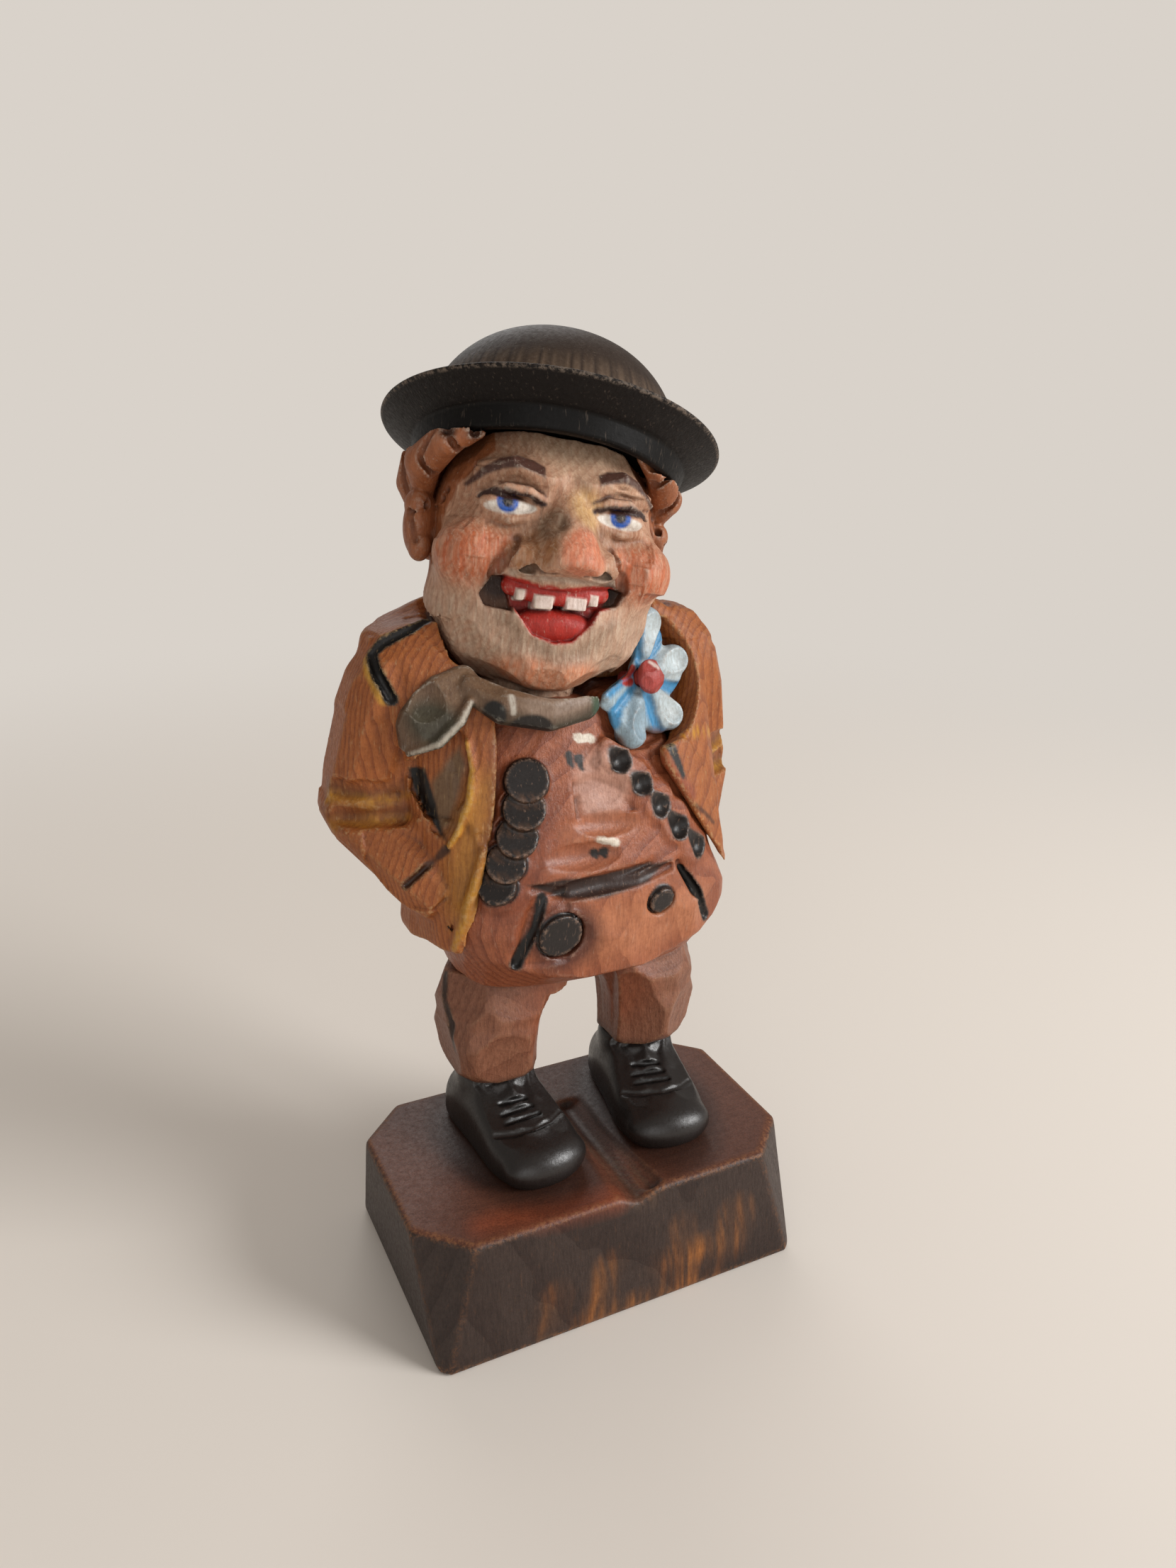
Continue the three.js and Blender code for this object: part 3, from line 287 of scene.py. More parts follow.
def carved_wood(name, pith, ring_mm, rings, fibres, wear, worn, hollow_dirt_and_shade, roughness, scuffs=0.2, sheen=0.35):
    """Carved softwood under stain and paint. Growth rings run round a pith, in millimetres, and fibres run
    upright; edges are rubbed to a worn colour, hollows are darkened as dirt and painted shade, and fine
    scuffs cross the whole piece."""
    material = bpy.data.materials.new(name)
    material.use_nodes = True
    tree = material.node_tree
    shader = tree.nodes["Principled BSDF"]
    place = add(tree, "TexCoord").outputs["Object"]
    real = add(tree, "Mapping", {"Vector": place, "Location": [-c for c in pith],
                                 "Scale": (1000,) * 3}).outputs[0]
    along = add(tree, "Mapping", {"Vector": place, "Scale": (1000, 1000, 90)}).outputs[0]
    slant = add(tree, "Mapping", {"Vector": place, "Rotation": (0.4, 0.9, 0.3),
                                  "Scale": (1600, 1600, 250)}).outputs[0]
    paint = add(tree, "Attribute", attribute_name="paint")
    stands = add(tree, "Attribute", attribute_name="worn").outputs["Fac"]
    wave_mm = 0.314  # one ring of the pattern at a scale of 1
    ring = add(tree, "TexWave", {"Vector": real, "Scale": wave_mm / ring_mm, "Distortion": 5.0,
                                 "Detail": 2.0, "Detail Scale": 0.35},
               wave_type="RINGS", rings_direction="Z", wave_profile="SAW").outputs["Fac"]
    # Noise scales are one over a size in mm: fibres 0.4 wide and 4 long, patches 3.3, specks 0.8, scuffs 0.5.
    fibre, patch, speck, scuff = (
        add(tree, "TexNoise", {"Vector": at, "Scale": scale, "Detail": detail,
                               "Roughness": rough}).outputs["Fac"]
        for at, scale, detail, rough in ((along, 2.6, 3.0, 0.65), (real, 0.3, 6.0, 0.7),
                                         (real, 1.3, 5.0, 0.7), (slant, 1.3, 4.0, 0.6)))
    bare = add(tree, "Math", {0: paint.outputs["Alpha"], 1: -0.75, 2: 1.0},
               operation="MULTIPLY_ADD").outputs[0]
    late = add(tree, "MapRange", {0: ring, 1: 0.45, 2: 0.95, 3: 0.0, 4: rings}).outputs[0]
    ringed = add(tree, "Math", {0: late, 1: bare}, operation="MULTIPLY").outputs[0]
    streak = add(tree, "MapRange", {0: fibre, 1: 0.42, 2: 0.72, 3: 0.0, 4: fibres}).outputs[0]
    cloud = add(tree, "MapRange", {0: patch, 1: 0.4, 2: 0.7, 3: 0.0, 4: 0.4}).outputs[0]
    fleck = add(tree, "MapRange", {0: speck, 1: 0.45, 2: 0.7, 3: 0.0, 4: 0.4}).outputs[0]
    # Hollows are darkened, partly as dirt and partly as painted shade.
    sunk = add(tree, "MapRange", {0: stands, 1: -0.03, 2: -0.2, 3: 0.0, 4: hollow_dirt_and_shade}).outputs[0]
    colour = paint.outputs["Color"]
    for share, tint in ((ringed, "#a3724f"), (streak, "#a8927f"), (cloud, "#cdc2b8"), (fleck, "#b8a594"),
                        (sunk, "#6f5c50")):
        colour = add(tree, "Mix", {0: share, 6: colour, 7: (*linear(tint), 1)},
                     data_type="RGBA", blend_type="MULTIPLY").outputs[2]
    proud = add(tree, "MapRange", {0: stands, 1: 0.04, 2: 0.16, 3: 0.0, 4: 1.0}).outputs[0]
    broken = add(tree, "MapRange", {0: speck, 1: 0.45, 2: 0.6, 3: 0.0, 4: worn}).outputs[0]
    rubbed = add(tree, "Math", {0: proud, 1: broken}, operation="MULTIPLY").outputs[0]
    scraped = add(tree, "MapRange", {0: scuff, 1: 0.6, 2: 0.72, 3: 0.0, 4: scuffs}).outputs[0]
    bared = add(tree, "Math", {0: rubbed, 1: scraped}, operation="MAXIMUM").outputs[0]
    colour = add(tree, "Mix", {0: bared, 6: colour, 7: (*linear(wear), 1)}, data_type="RGBA").outputs[2]
    rough = add(tree, "MapRange", {0: speck, 1: 0.3, 2: 0.7, 3: roughness - 0.1,
                                   4: roughness + 0.12}).outputs[0]
    height = add(tree, "Math", {0: fibre, 1: 0.6, 2: speck}, operation="MULTIPLY_ADD").outputs[0]
    bump = add(tree, "Bump", {"Height": height, "Distance": 0.00016, "Strength": bare})  # 0.16 mm of relief
    tree.links.new(colour, shader.inputs["Base Color"])
    tree.links.new(rough, shader.inputs["Roughness"])
    tree.links.new(bump.outputs[0], shader.inputs["Normal"])
    shader.inputs["IOR"].default_value = 1.5
    shader.inputs["Specular IOR Level"].default_value = sheen
    return material


def piece(name, skin, material, body, slot, *nodes):
    """A finished piece that rides on a body in place of its plain solids."""
    skin.materials.append(material)
    made = bpy.data.objects.new(name, skin)
    scene.collection.objects.link(made)
    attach(made, body)
    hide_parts(*nodes)


PLINTH_TOP = 25.0
ANKLE_X = {"right": -13.7, "left": 18.5}
ANKLE_Y = 9.0
TOE_IN = {"right": 7.0, "left": -7.0}
plinth = Carving.of_node("plinth", step=0.5)
plinth.soften(0.5)
PAD = (11.4, 19.2, 1.5)  # the low rise that each shoe stands on
pads = [ball((ANKLE_X[side] + math.copysign(0.9, turn), 1.9, PLINTH_TOP - 0.7), PAD, (0, 0, turn))
        for side, turn in TOE_IN.items()]
for pad in pads:
    plinth.add(pad, 1.0)
FURROW = [(0.6, 13, 25.6), (2.4, -8, 25.0), (4.2, -21, 24.6)]
for shift, width in ((-3.0, 1.0), (-1.5, 1.4), (0.2, 1.1), (1.8, 1.3), (3.0, 0.9)):
    plinth.cut(stick(np.array(FURROW) + [shift, 0, 0.7], [width * 0.6, width, width * 1.3]), 0.5)
for along in np.linspace(-30, 30, 16):
    nick = np.array([along + dice.normal(0, 1.5), -24.0, PLINTH_TOP + 0.5]) + dice.normal(0, 0.15, 3)
    plinth.cut(ball(nick, (3.0, 0.9, 0.9), (dice.uniform(-20, 20), 0, dice.uniform(-20, 20))))
skin = plinth.mesh("plinth_block")
coat = Coat(skin, "#392b25")
coat.lay("#643c2c", coat.facing((0, 0, 1), 0.5, 0.9), 0.95)
marks = coat.brushed(1.7) * coat.brushed(4.3)
for path, width in (([(11.6, -25, 15), (11.5, -26, 1)], 3.4), ([(-4, -25, 12), (-8, -26, 1)], 4.0),
                    ([(24.5, -25, 14), (23, -26, 7)], 6.0), ([(-15.4, -25, 9), (-17, -26, 4)], 4.0),
                    ([(8, -26, 8), (17, -26, 8)], 5.0), ([(-10, -26, 2), (20, -26, 1.4)], 2.2)):
    coat.stroke("#a0642d", path, width, 4.5, 0.1 + 0.75 * marks)
coat.stroke("#8a472d", [(-27, -18.5, 25), (-13.6, -20.6, 25), (-2, -21.6, 25)], 5.0, 4.0, 0.8)
for pad in pads:
    coat.dab("#1d1310", pad, 2.4, 0.9, 1.0)
coat.stroke("#5f4a3a", FURROW, [2.0, 5.0, 6.5], 3.0, 0.75 * coat.brushed(0.9))
coat.done()
# Pine under dark stain: broad rings and streaks show through, and rubbed edges show bare wood.
plinth_wood = carved_wood("stained_pine_plinth", pith=(20, 190, 0), ring_mm=2.4, rings=0.5, fibres=0.7,
                          wear="#94633f", worn=0.5, hollow_dirt_and_shade=0.5, roughness=0.45, scuffs=0.1)
piece("plinth_block", skin, plinth_wood, "figure", "plinth_stain", "plinth")


# Shoes: carved from one block each and painted gloss black, with a cut round the toe cap.
# Short knife cuts over the instep stand for laces. Each is threaded on its leg's dowel.
TOE_CAP = [(-7.5, -13.5, 3), (-4, -15.6, 3), (0, -16.4, 3), (4, -15.6, 3), (7.5, -13.5, 3)]
UP = (0, 0, 1)
# Gloss paint on pine: hardly any grain, clear highlights on the rounded toes and few rubbed edges.
gloss_black = carved_wood("black_gloss_paint_shoe", pith=(0, 150, 0), ring_mm=2.0, rings=0.1, fibres=0.3,
                          wear="#4a423c", worn=0.15, hollow_dirt_and_shade=0.2, roughness=0.35, scuffs=0.08, sheen=0.5)
for name, turn in TOE_IN.items():
    stand = (Matrix.Translation((ANKLE_X[name], ANKLE_Y, PLINTH_TOP))
             @ Matrix.Rotation(math.radians(turn), 4, "Z"))
    shoe = Carving.of_node(f"{name}_shoe", step=0.35, turn=stand.inverted())
    shoe.soften(1.1, loss=0.8)
    shoe.add(ball((0, -19.8, 3.4), (8.8, 5.2, 4.6)), 1.0)
    for side in (-1, 1):
        shoe.shave((0, -12, 4), (side * 0.7, -0.15, 0.7), depth=0.7, bow=25)
    shoe.shave((0, -13, 4), (0, -0.2, 1), depth=0.5, bow=25)
    shoe.gouge(TOE_CAP, radius=0.8, depth=0.35, direction=UP)
    laces = []
    for y, half in ((-8.6, 2.6), (-10.6, 3.2), (-12.6, 3.6)):
        cut = [(-1 - half, y, 6), (-1 + half, y - 0.5, 6)]
        laces.append(shoe.gouge(cut, radius=0.6, depth=0.2, direction=UP))
    skin = shoe.mesh(f"{name}_shoe_black", stand)
    coat = Coat(skin, "#211d1b", stand)
    coat.lay("#201b19", np.ones(len(coat.places)))
    for lace in laces:
        coat.dab("#0c0a09", lace, 0.5, 0.9, 0.2)
    coat.done()
    piece(f"{name}_shoe_black", skin, gloss_black, "figure", "shoe_paint", f"{name}_shoe")


# Trouser legs: baggy legs carved with broad knife strokes in two rounds, and stained grey-brown.
# Each is threaded on a dowel that runs from the plinth into the body, and its side seam is a painted cut.
HEM_Z = 40.0
SEAM = ((10.2, 8.5, 62), (11.4, 6.4, 57.5), (10.4, 4.8, 53.4), (10.8, 5.2, 42))  # out from the ankle, y, z
# Pine under thin stain: fibres show all over, and the ridges between knife strokes are rubbed pale.
trouser_wood = carved_wood("stained_pine_trousers", pith=(5, 120, 0), ring_mm=1.2, rings=0.3, fibres=0.55,
                           wear="#b08868", worn=0.4, hollow_dirt_and_shade=0.55, roughness=0.42)
for name, side in (("right", -1), ("left", 1)):
    leg = Carving.of_node(f"{name}_trouser_leg", step=0.4)
    leg.soften(0.6)
    for rise, depth, phase, slope in ((6.5, 1.5, 0.2, -0.05), (19.0, 1.2, 0.6, 0.15)):
        for turn in np.arange(6) + phase:
            angle = 2 * math.pi * turn / 6
            leg.shave((ANKLE_X[name], ANKLE_Y, HEM_Z + rise + dice.normal(0, 0.5)),
                      (math.cos(angle), math.sin(angle), slope), depth, bow=60, reach=12)
    cut = [(ANKLE_X[name] + side * out, y, z) for out, y, z in SEAM]
    seam = leg.gouge(cut, radius=0.7, depth=0.6, direction=(side * 0.2, 0, 0))
    skin = leg.mesh(f"{name}_trouser_leg_carved")
    coat = Coat(skin, "#845640")
    coat.dab("#8a4a2e", ball((ANKLE_X[name] - side * 8, 2, HEM_Z + 15), (6, 9, 9)), 6.0, 0.6)
    coat.dab("#3a2218", ball((ANKLE_X[name], ANKLE_Y, HEM_Z), (16, 16, 1.0)), 1.5, 0.7)
    coat.dab("#241a15", seam, 0.5, 0.9)
    coat.done()
    piece(f"{name}_trouser_leg_carved", skin, trouser_wood, "figure", "trouser_stain", f"{name}_trouser_leg")


# Torso: a full belly in a double-breasted waistcoat, carved from one block and stained red-brown.
# Flat gouge cuts run across the chest; the buttons, the pocket edge and the slits are painted black.
def disc(at, normal, radius, half, squash=1.0, along=(0, 0, 1)):
    """A round button on a surface, longer along one direction than across it where it is squashed."""
    at, normal = np.array(at, float), np.array(normal, float) / np.linalg.norm(normal)
    across = np.cross(along, normal) / np.linalg.norm(np.cross(along, normal))
    up = np.cross(normal, across)

    def distance(p):
        off = p - at
        flat = np.hypot(off @ across / squash, off @ up) - radius
        return np.maximum(flat, np.abs(off @ normal) - half)
    return at - radius - half, at + radius + half, distance


def stamp(outline, near, far):
    """A straight cut from the front: an outline of points across and up, from one depth to another."""
    outline = np.array(outline, float)

    def distance(p):
        x, z = p[..., 0], p[..., 2]
        nearest = np.full(x.shape, 1e6)
        inside = np.zeros(x.shape, bool)
        for (x0, z0), (x1, z1) in zip(outline, np.roll(outline, -1, axis=0)):
            ex, ez = x1 - x0, z1 - z0
            share = np.clip(((x - x0) * ex + (z - z0) * ez) / (ex * ex + ez * ez), 0, 1)
            nearest = np.minimum(nearest, (x - x0 - share * ex) ** 2 + (z - z0 - share * ez) ** 2)
            crossed = (z0 > z) != (z1 > z)
            inside ^= crossed & (x < x0 + ex * (z - z0) / (ez or 1e-9))
        flat = np.sqrt(nearest) * np.where(inside, -1, 1)
        return np.maximum(flat, np.maximum(near - p[..., 1], p[..., 1] - far))
    (x0, z0), (x1, z1) = outline.min(0), outline.max(0)
    return np.array([x0, near, z0]), np.array([x1, far, z1]), distance


RIGHT_BUTTONS = [(-12.8, 104.6), (-13.9, 99.9), (-15.6, 95.2), (-17.8, 90.8), (-19.4, 86.8)]
LEFT_BUTTONS = [(4.8, 106.8), (8.6, 102.3), (12.4, 97.8), (16.2, 93.0), (20.8, 88.3)]
POCKET = [(-13.4, -10.5, 85.9), (-8, -11.3, 85.0), (0, -11.5, 84.4), (7, -12, 84.8), (14.2, -10.9, 85.6)]
SLITS = [[(-12.0, -11.1, 84.2), (-14.3, -11.2, 78.9), (-16.9, -10.0, 71.6)],
         [(17.2, -8.8, 83.9), (20.4, -9.0, 78.8), (23.9, -9.0, 72.6)]]
FRONT = (0, -1, 0)
UNDER_JACKET = 0.8  # the sides are taken down this far where the jacket goes over them
torso = Carving.of_node("torso", step=0.4)
torso.soften(0.5)
_, places = torso.window()
at_side = np.clip(np.abs(places[..., 0] + 2) / 4 - 4, 0, 1)
behind_front = np.clip(places[..., 1] / 5 + 0.4, 0, 1)
torso.field += UNDER_JACKET * at_side * behind_front
torso.shave((2.4, 6, 102.5), (0.05, -1, 0.12), depth=0.7, bow=20, reach=7)
for at, direction, depth, bow in (
        ((-3, 6, 74.5), (-0.05, -1, -0.15), 0.7, 40), ((8, 6, 75), (0.2, -1, -0.1), 0.8, 40),
        ((17, 6, 76), (0.5, -1, 0), 0.8, 40), ((22, 6, 82), (0.8, -0.8, 0), 0.8, 40),
        ((26, 8, 74), (1, -0.4, 0), 0.8, 40), ((-20, 8, 75), (-0.6, -0.8, 0), 0.8, 40)):
    torso.shave(at, direction, depth, bow, reach=10)
torso.whittle((0, 6, 90), count=60, depth=0.25, bow=30, reach=8)
for x, z, lean in ((0.9, 94.8, 6), (-4.6, 90.2, 3)):
    seat, normal = torso.face((x, 6, z), FRONT)
    torso.cut(ball(seat + normal * 2.7, (10, 4, 3.4), (0, lean, 0)), 0.1)
torso.gouge(POCKET, [0.8, 2.0, 2.2, 2.0, 0.8], depth=1.0)
FLAP = [(-14.4, 86.6), (-8, 87.0), (0, 86.4), (7, 86.8), (14.8, 86.8), (9, 83.7), (0, 82.6), (-8, 83.2)]
slits = [torso.gouge(slit, radius=0.9, depth=1.3) for slit in SLITS]
buttons, leaves = [], []
for i, (x, z) in enumerate(RIGHT_BUTTONS):
    seat, normal = torso.face((x, 6, z), FRONT)
    tucked = normal + np.array([0, -0.1, 0.5 * (i > 0)])
    torso.cut(disc(seat + normal * 0.4, tucked, 4.5, 1.0), 0.1)
    buttons.append(disc(seat + normal * 0.1 * (i > 0), tucked, 3.9 - 0.12 * i, 0.9))
for x, z in LEFT_BUTTONS:
    seat, normal = torso.face((x, 6, z), FRONT)
    lie = np.array([-0.55, -0.1, 0.83])
    leaves.append(stick([seat + normal * 0.3 + lie * 3.3, seat + normal * 1.3 - lie * 1.1], [0.5, 2.5]))
    torso.cut(leaves[-1], 0.1)
for x, z, radius in ((-8.9, 76.6, 4.2), (11.6, 79.7, 2.6)):
    seat, normal = torso.face((x, 6, z), FRONT)
    torso.cut(ball(seat + normal * (radius * 1.2 - 0.9), (radius * 1.9, radius * 1.2, radius * 1.9)), 0.2)
    torso.cut(disc(seat, normal, radius + 0.5, 1.0), 0.1)
    buttons.append(disc(seat - normal * 0.5, normal, radius, 0.7))
for button in buttons:
    torso.add(button, 0.15)
skin = torso.mesh("torso_waistcoat")
coat = Coat(skin, "#985637")
# Paler chest facet: partly paler wood, partly painted highlight.
coat.dab("#b58a78", ball((1.8, -7, 102.5), (5.4, 5, 6.4), (0, 20, 0)), 2.5, 0.85)
coat.dab("#a9694a", ball((0.5, -10, 94.4), (8.5, 5, 2.6)), 1.5, 0.7)
coat.dab("#a5664a", ball((-5, -11, 90), (8, 5, 2.6)), 1.5, 0.7)
coat.dab("#b27350", ball((8, -13, 76), (18, 8, 6)), 6.0, 0.7)
# Painted shade: dark round the hollow of the low button, and down the figure's right side by the jacket edge.
coat.dab("#4a2118", ball((-8.4, -13, 76), (6.6, 4, 6.6)), 3.0, 0.85)
coat.dab("#6e3522", ball((-15, -8, 93), (6, 6, 14), (0, 15, 0)), 4.0, 0.6)
for black in buttons + leaves:
    coat.dab("#1f1917", black, 0.4)
for x, z in RIGHT_BUTTONS[1:]:
    coat.dab("#5f4330", ball((x + 0.3, -9, z + 1.8), (3.2, 4, 0.8)), 1.0, 0.7 * coat.brushed(0.8))
coat.dab("#231916", stamp(FLAP, -20, 0), 0.6, 0.95, 0.0)
for slit in slits:
    coat.dab("#120e0d", slit, 0.4)
for a, b in (((-2.3, -3.7, 110.5), (0.6, -3.9, 110.0)), ((-0.4, -9.8, 92.6), (2.9, -10.1, 91.9))):
    coat.stroke("#d8cfc0", [a, b], 1.5, 0.3)
for x, z in ((-4.2, 107.4), (-2.2, 106.4), (-0.4, 88.8), (1.8, 88.6)):
    coat.stroke("#1c1512", [(x - 0.2, -6, z + 1.1), (x + 0.3, -6, z - 1.3)], [1.7, 0.7], 0.3)
coat.done()
# Pine under red-brown stain and wax: rings show on the belly, and the facets have a soft shine.
waistcoat_wood = carved_wood("stained_pine_waistcoat", pith=(-30, 130, 0), ring_mm=1.5, rings=0.5,
                             fibres=0.45, wear="#c9a187", worn=0.25, hollow_dirt_and_shade=0.7, roughness=0.4, sheen=0.4)
piece("torso_waistcoat", skin, waistcoat_wood, "figure", "waistcoat_stain", "torso")


# Jacket halves: each side with its bent sleeve is one block, the hand hidden in the pocket.
# They are glued and dowelled to the torso and stained golden brown. Their fold cuts are painted dark as
# shade, and gold along ridges and edges is partly rubbed gold and partly painted highlight.
# The right half has a notched collar and a raised lapel; the left one's lapel is mostly under the flower.
COLLAR = [(-23.0, 9.0, 132.2), (-28.5, 7.4, 130.0), (-33.2, 8.2, 127.9), (-35.0, 9.0, 126.0),
          (-34.9, 6.2, 123.0), (-33.2, 4.4, 118.8)]
RIDGE = [(-22.6, -3.0, 112.0), (-21.9, -4.0, 107.3), (-23.1, -5.3, 102.2), (-25.3, -4.9, 96.6),
         (-26.8, -4.1, 94.0)]
PANEL = [(-23.1, 110.8), (-22.5, 107.7), (-23.8, 102.8), (-25.4, 97.8), (-27.2, 95), (-27.8, 98.4),
         (-27.5, 103.9), (-25.5, 107.6)]
WEDGE = [(-29.0, 2.8, 105.6), (-28.4, 1.4, 101.3), (-27.3, -1.3, 95.4)]
GAP = [(-30.4, 105.8), (-28.2, 106.4), (-27.0, 100), (-26.8, 94.6), (-28.4, 98), (-29.6, 102)]
SLEEVE_CUT = [(-33.5, -1.2, 86.4), (-29.8, -2.0, 89.6), (-26.8, -4.1, 93.3)]
EDGE = [(-18.0, -4.6, 111.0), (-18.8, -6.4, 103.3), (-21.6, -7.4, 93.7), (-23.0, -7.3, 88.5),
        (-24.8, -6.8, 81.9), (-26.2, -4.7, 74.6)]
STROKES = [((-32, 12, 116), (-0.75, -0.65, 0.1)), ((-33, 13, 108), (-0.35, -1, 0)),
           ((-34, 14, 110), (-1, 0.1, 0)), ((-31, 16, 112), (-0.75, 0.7, 0)),
           ((-30, 14, 124), (-0.7, -0.3, 0.6)), ((-36, 12, 91), (-0.85, -0.3, -0.5)),
           ((-31, 6, 89), (-0.55, -0.8, -0.25)), ((-27, 4, 91), (-0.3, -1, 0.2)),
           ((-34, 18, 96), (-0.6, 0.8, -0.2)), ((-20, 18, 100), (-0.4, 1, 0)),
           ((-20, 18, 118), (-0.4, 1, 0.2)), ((-10, 18, 90), (-0.1, 1, 0)),
           ((-8, 18, 108), (-0.1, 1, 0.1)), ((-12, 16, 78), (-0.2, 1, -0.1)),
           ((-22, 16, 86), (-0.5, 0.9, 0)), ((-8, 16, 122), (-0.1, 0.9, 0.4))]
FOLDS = [[(-43.4, 13.0, 101.2), (-40.3, 10.0, 101.0), (-37.2, 7.4, 100.7), (-33.6, 6.3, 101.2),
          (-31.3, 4.7, 102.1)],
         [(-43.4, 11.2, 96.3), (-40.6, 9.8, 96.6), (-37.9, 7.8, 97.0), (-34.5, 6.2, 97.7),
          (-31.2, 4.5, 98.2)]]
MIDDLE_X = -2.0
THINNEST = 0.5  # no knife stroke goes deeper than this into the jacket, whose back is thin
HEM = 1.5  # the hem at the back is left this much thicker
# Pine under golden stain: narrow rings cross the sleeves, and edges are rubbed pale.
# Its cuts are darkened, as dirt and painted shade.
jacket_wood = carved_wood("stained_pine_jacket", pith=(-60, 95, 0), ring_mm=1.0, rings=0.5, fibres=0.4,
                          wear="#cfae7c", worn=0.35, hollow_dirt_and_shade=0.6, roughness=0.46)
collar = stick(COLLAR, 0.9)
halves = []
for name, side in (("right", 1), ("left", -1)):
    over = np.array([side, 1, 1])
    shift = np.array([MIDDLE_X * (1 - side), 0, 0])
    half = Carving.of_node(f"{name}_jacket_half", step=0.4)
    blank = half.field
    half.soften(0.6)
    half.whittle(np.array((-31, 14, 106)) * over + shift, count=60, depth=0.25, bow=30, reach=8)
    for at, direction in STROKES:
        half.shave(np.array(at) * over + shift, np.array(direction) * over, depth=0.9, bow=34, reach=10)
    for fold in FOLDS:
        half.cut(stick(np.array(fold) * over + shift + [-0.8 * side, -1.0, 0], 1.7), 0.8)
    _, places = half.window()
    hem = np.clip((80 - places[..., 2]) / 6, 0, 1) * np.clip((places[..., 1] - 2) / 6, 0, 1)
    half.field = np.minimum(half.field, blank + THINNEST - HEM * hem)
    if name == "right":
        half.cut(collar, 0.2)
        half.add(stick(RIDGE, [0.3, 0.6, 0.7, 0.6, 0.3]), 1.2)
        half.gouge(WEDGE, [1.6, 1.3, 0.6], depth=0.5)
        half.add(stick(EDGE[2:], [0.4, 0.8, 1.0, 0.8]), 1.0)
        crack = half.gouge(np.array(SLEEVE_CUT) + [0, 5, 0], radius=0.5, depth=0.4)
    halves.append(half)
    skin = half.mesh(f"{name}_jacket_carved")
    coat = Coat(skin, "#a05c2c")
    marks = coat.brushed(1.6)
    for fold in FOLDS:
        path = np.array(fold) * over + shift
        # Painted shade along each fold cut, and below it gold that is partly rubbed gold, partly painted
        # highlight.
        coat.stroke("#6a3d1c", path, [4.0, 3.4, 3.0, 2.6, 1.6], 2.4, 0.75)
        coat.stroke("#b98426", path + [0, 0, -1.2], [2.6, 1.6, 2.4, 1.4, 0.7], 1.6, 0.4 + 0.45 * marks)
    if name == "right":
        # Painted shade at the back of the right elbow.
        coat.dab("#8a4c20", ball((-40, 12, 92), (10, 10, 6)), 6.0, 0.5)
        # Gold on the front, along the collar, on the lapel ridge and down the front edge: partly rubbed gold,
        # partly painted highlight.
        coat.dab("#a9762a", ball((-22, -6, 92), (4.5, 6, 15), (0, 10, 0)), 4.0, 0.7)
        coat.stroke("#6b3a1e", np.array(EDGE[:3]) + [1.0, 0.5, 0], 3.6, 2.5, 0.8)
        coat.stroke("#c29434", np.array(COLLAR[3:]) + [-1.3, 0, -0.4], 1.6, 0.8, 0.85)
        coat.dab("#14100e", collar, 0.35)
        coat.dab("#6f5a42", stamp(PANEL, -12, 8), 1.0, 0.9, 0.0)
        coat.stroke("#bd8c2a", RIDGE, [0.6, 0.9, 1.1, 0.9, 0.6], 0.7, 0.9)
        # Painted shade: near-black in the gap between the lapel and the sleeve.
        coat.dab("#120e0c", stamp(GAP, -12, 8), 0.4, 1.0, 0.0)
        coat.dab("#3a2013", crack, 0.4, 0.9)
        coat.stroke("#b98628", EDGE[3:], 1.0, 1.0, 0.85)
    else:
        # Gold on the upper left sleeve: partly rubbed gold, partly painted highlight.
        coat.stroke("#c08a24", [(20, -4, 108.6), (24.4, -2.6, 108), (30, 2, 106)], 1.8, 1.4, 0.8 * marks)
        coat.stroke("#8e472a", [(14.6, -5, 104.2), (16.6, -6, 100.6), (18.7, -7.3, 97.4)], 4.4, 1.0, 0.85)
        coat.stroke("#17120f", [(16.0, -6.0, 107.3), (18.2, -6.9, 101.5)], [1.9, 1.1], 0.4)
        coat.stroke("#3a2013", [(21.0, -7.6, 95.4), (26.7, -5.7, 90.4)], 0.9, 0.5, 0.8)
    coat.done()
    piece(f"{name}_jacket_carved", skin, jacket_wood, "figure", "jacket_stain", f"{name}_jacket_half")


# Neckerchief: a band rolled round the throat, with one leaf-shaped wing laid out over the right lapel.
# It is carved thin and painted grey-green with dark spots, and its edges are rubbed pale. Its sides that face
# up are painted lighter as light, and its undersides and the wing's dish darker as painted shade.
WING_EDGE = [(-31.8, 0.2, 110.2), (-27.6, -3.4, 112.6), (-23.9, -4.1, 116.4), (-22.1, -3.6, 119.2)]
kerchief = Carving.of_node("neckerchief", step=0.3)
kerchief.soften(0.4)
kerchief.shave((-28, 3, 117.5), (-0.3, -1, 0.35), depth=1.0, bow=9, reach=8)
kerchief.add(stick(WING_EDGE, [0.5, 0.9, 1.0, 0.7]), 0.8)
kerchief.shave((-9, 3, 118), (0.1, -1, 0.3), depth=0.5, bow=14, reach=7)
kerchief.shave((-17, 3, 119.5), (-0.3, -1, 0.3), depth=0.5, bow=14, reach=6)
skin = kerchief.mesh("neckerchief_painted")
coat = Coat(skin, "#635040")
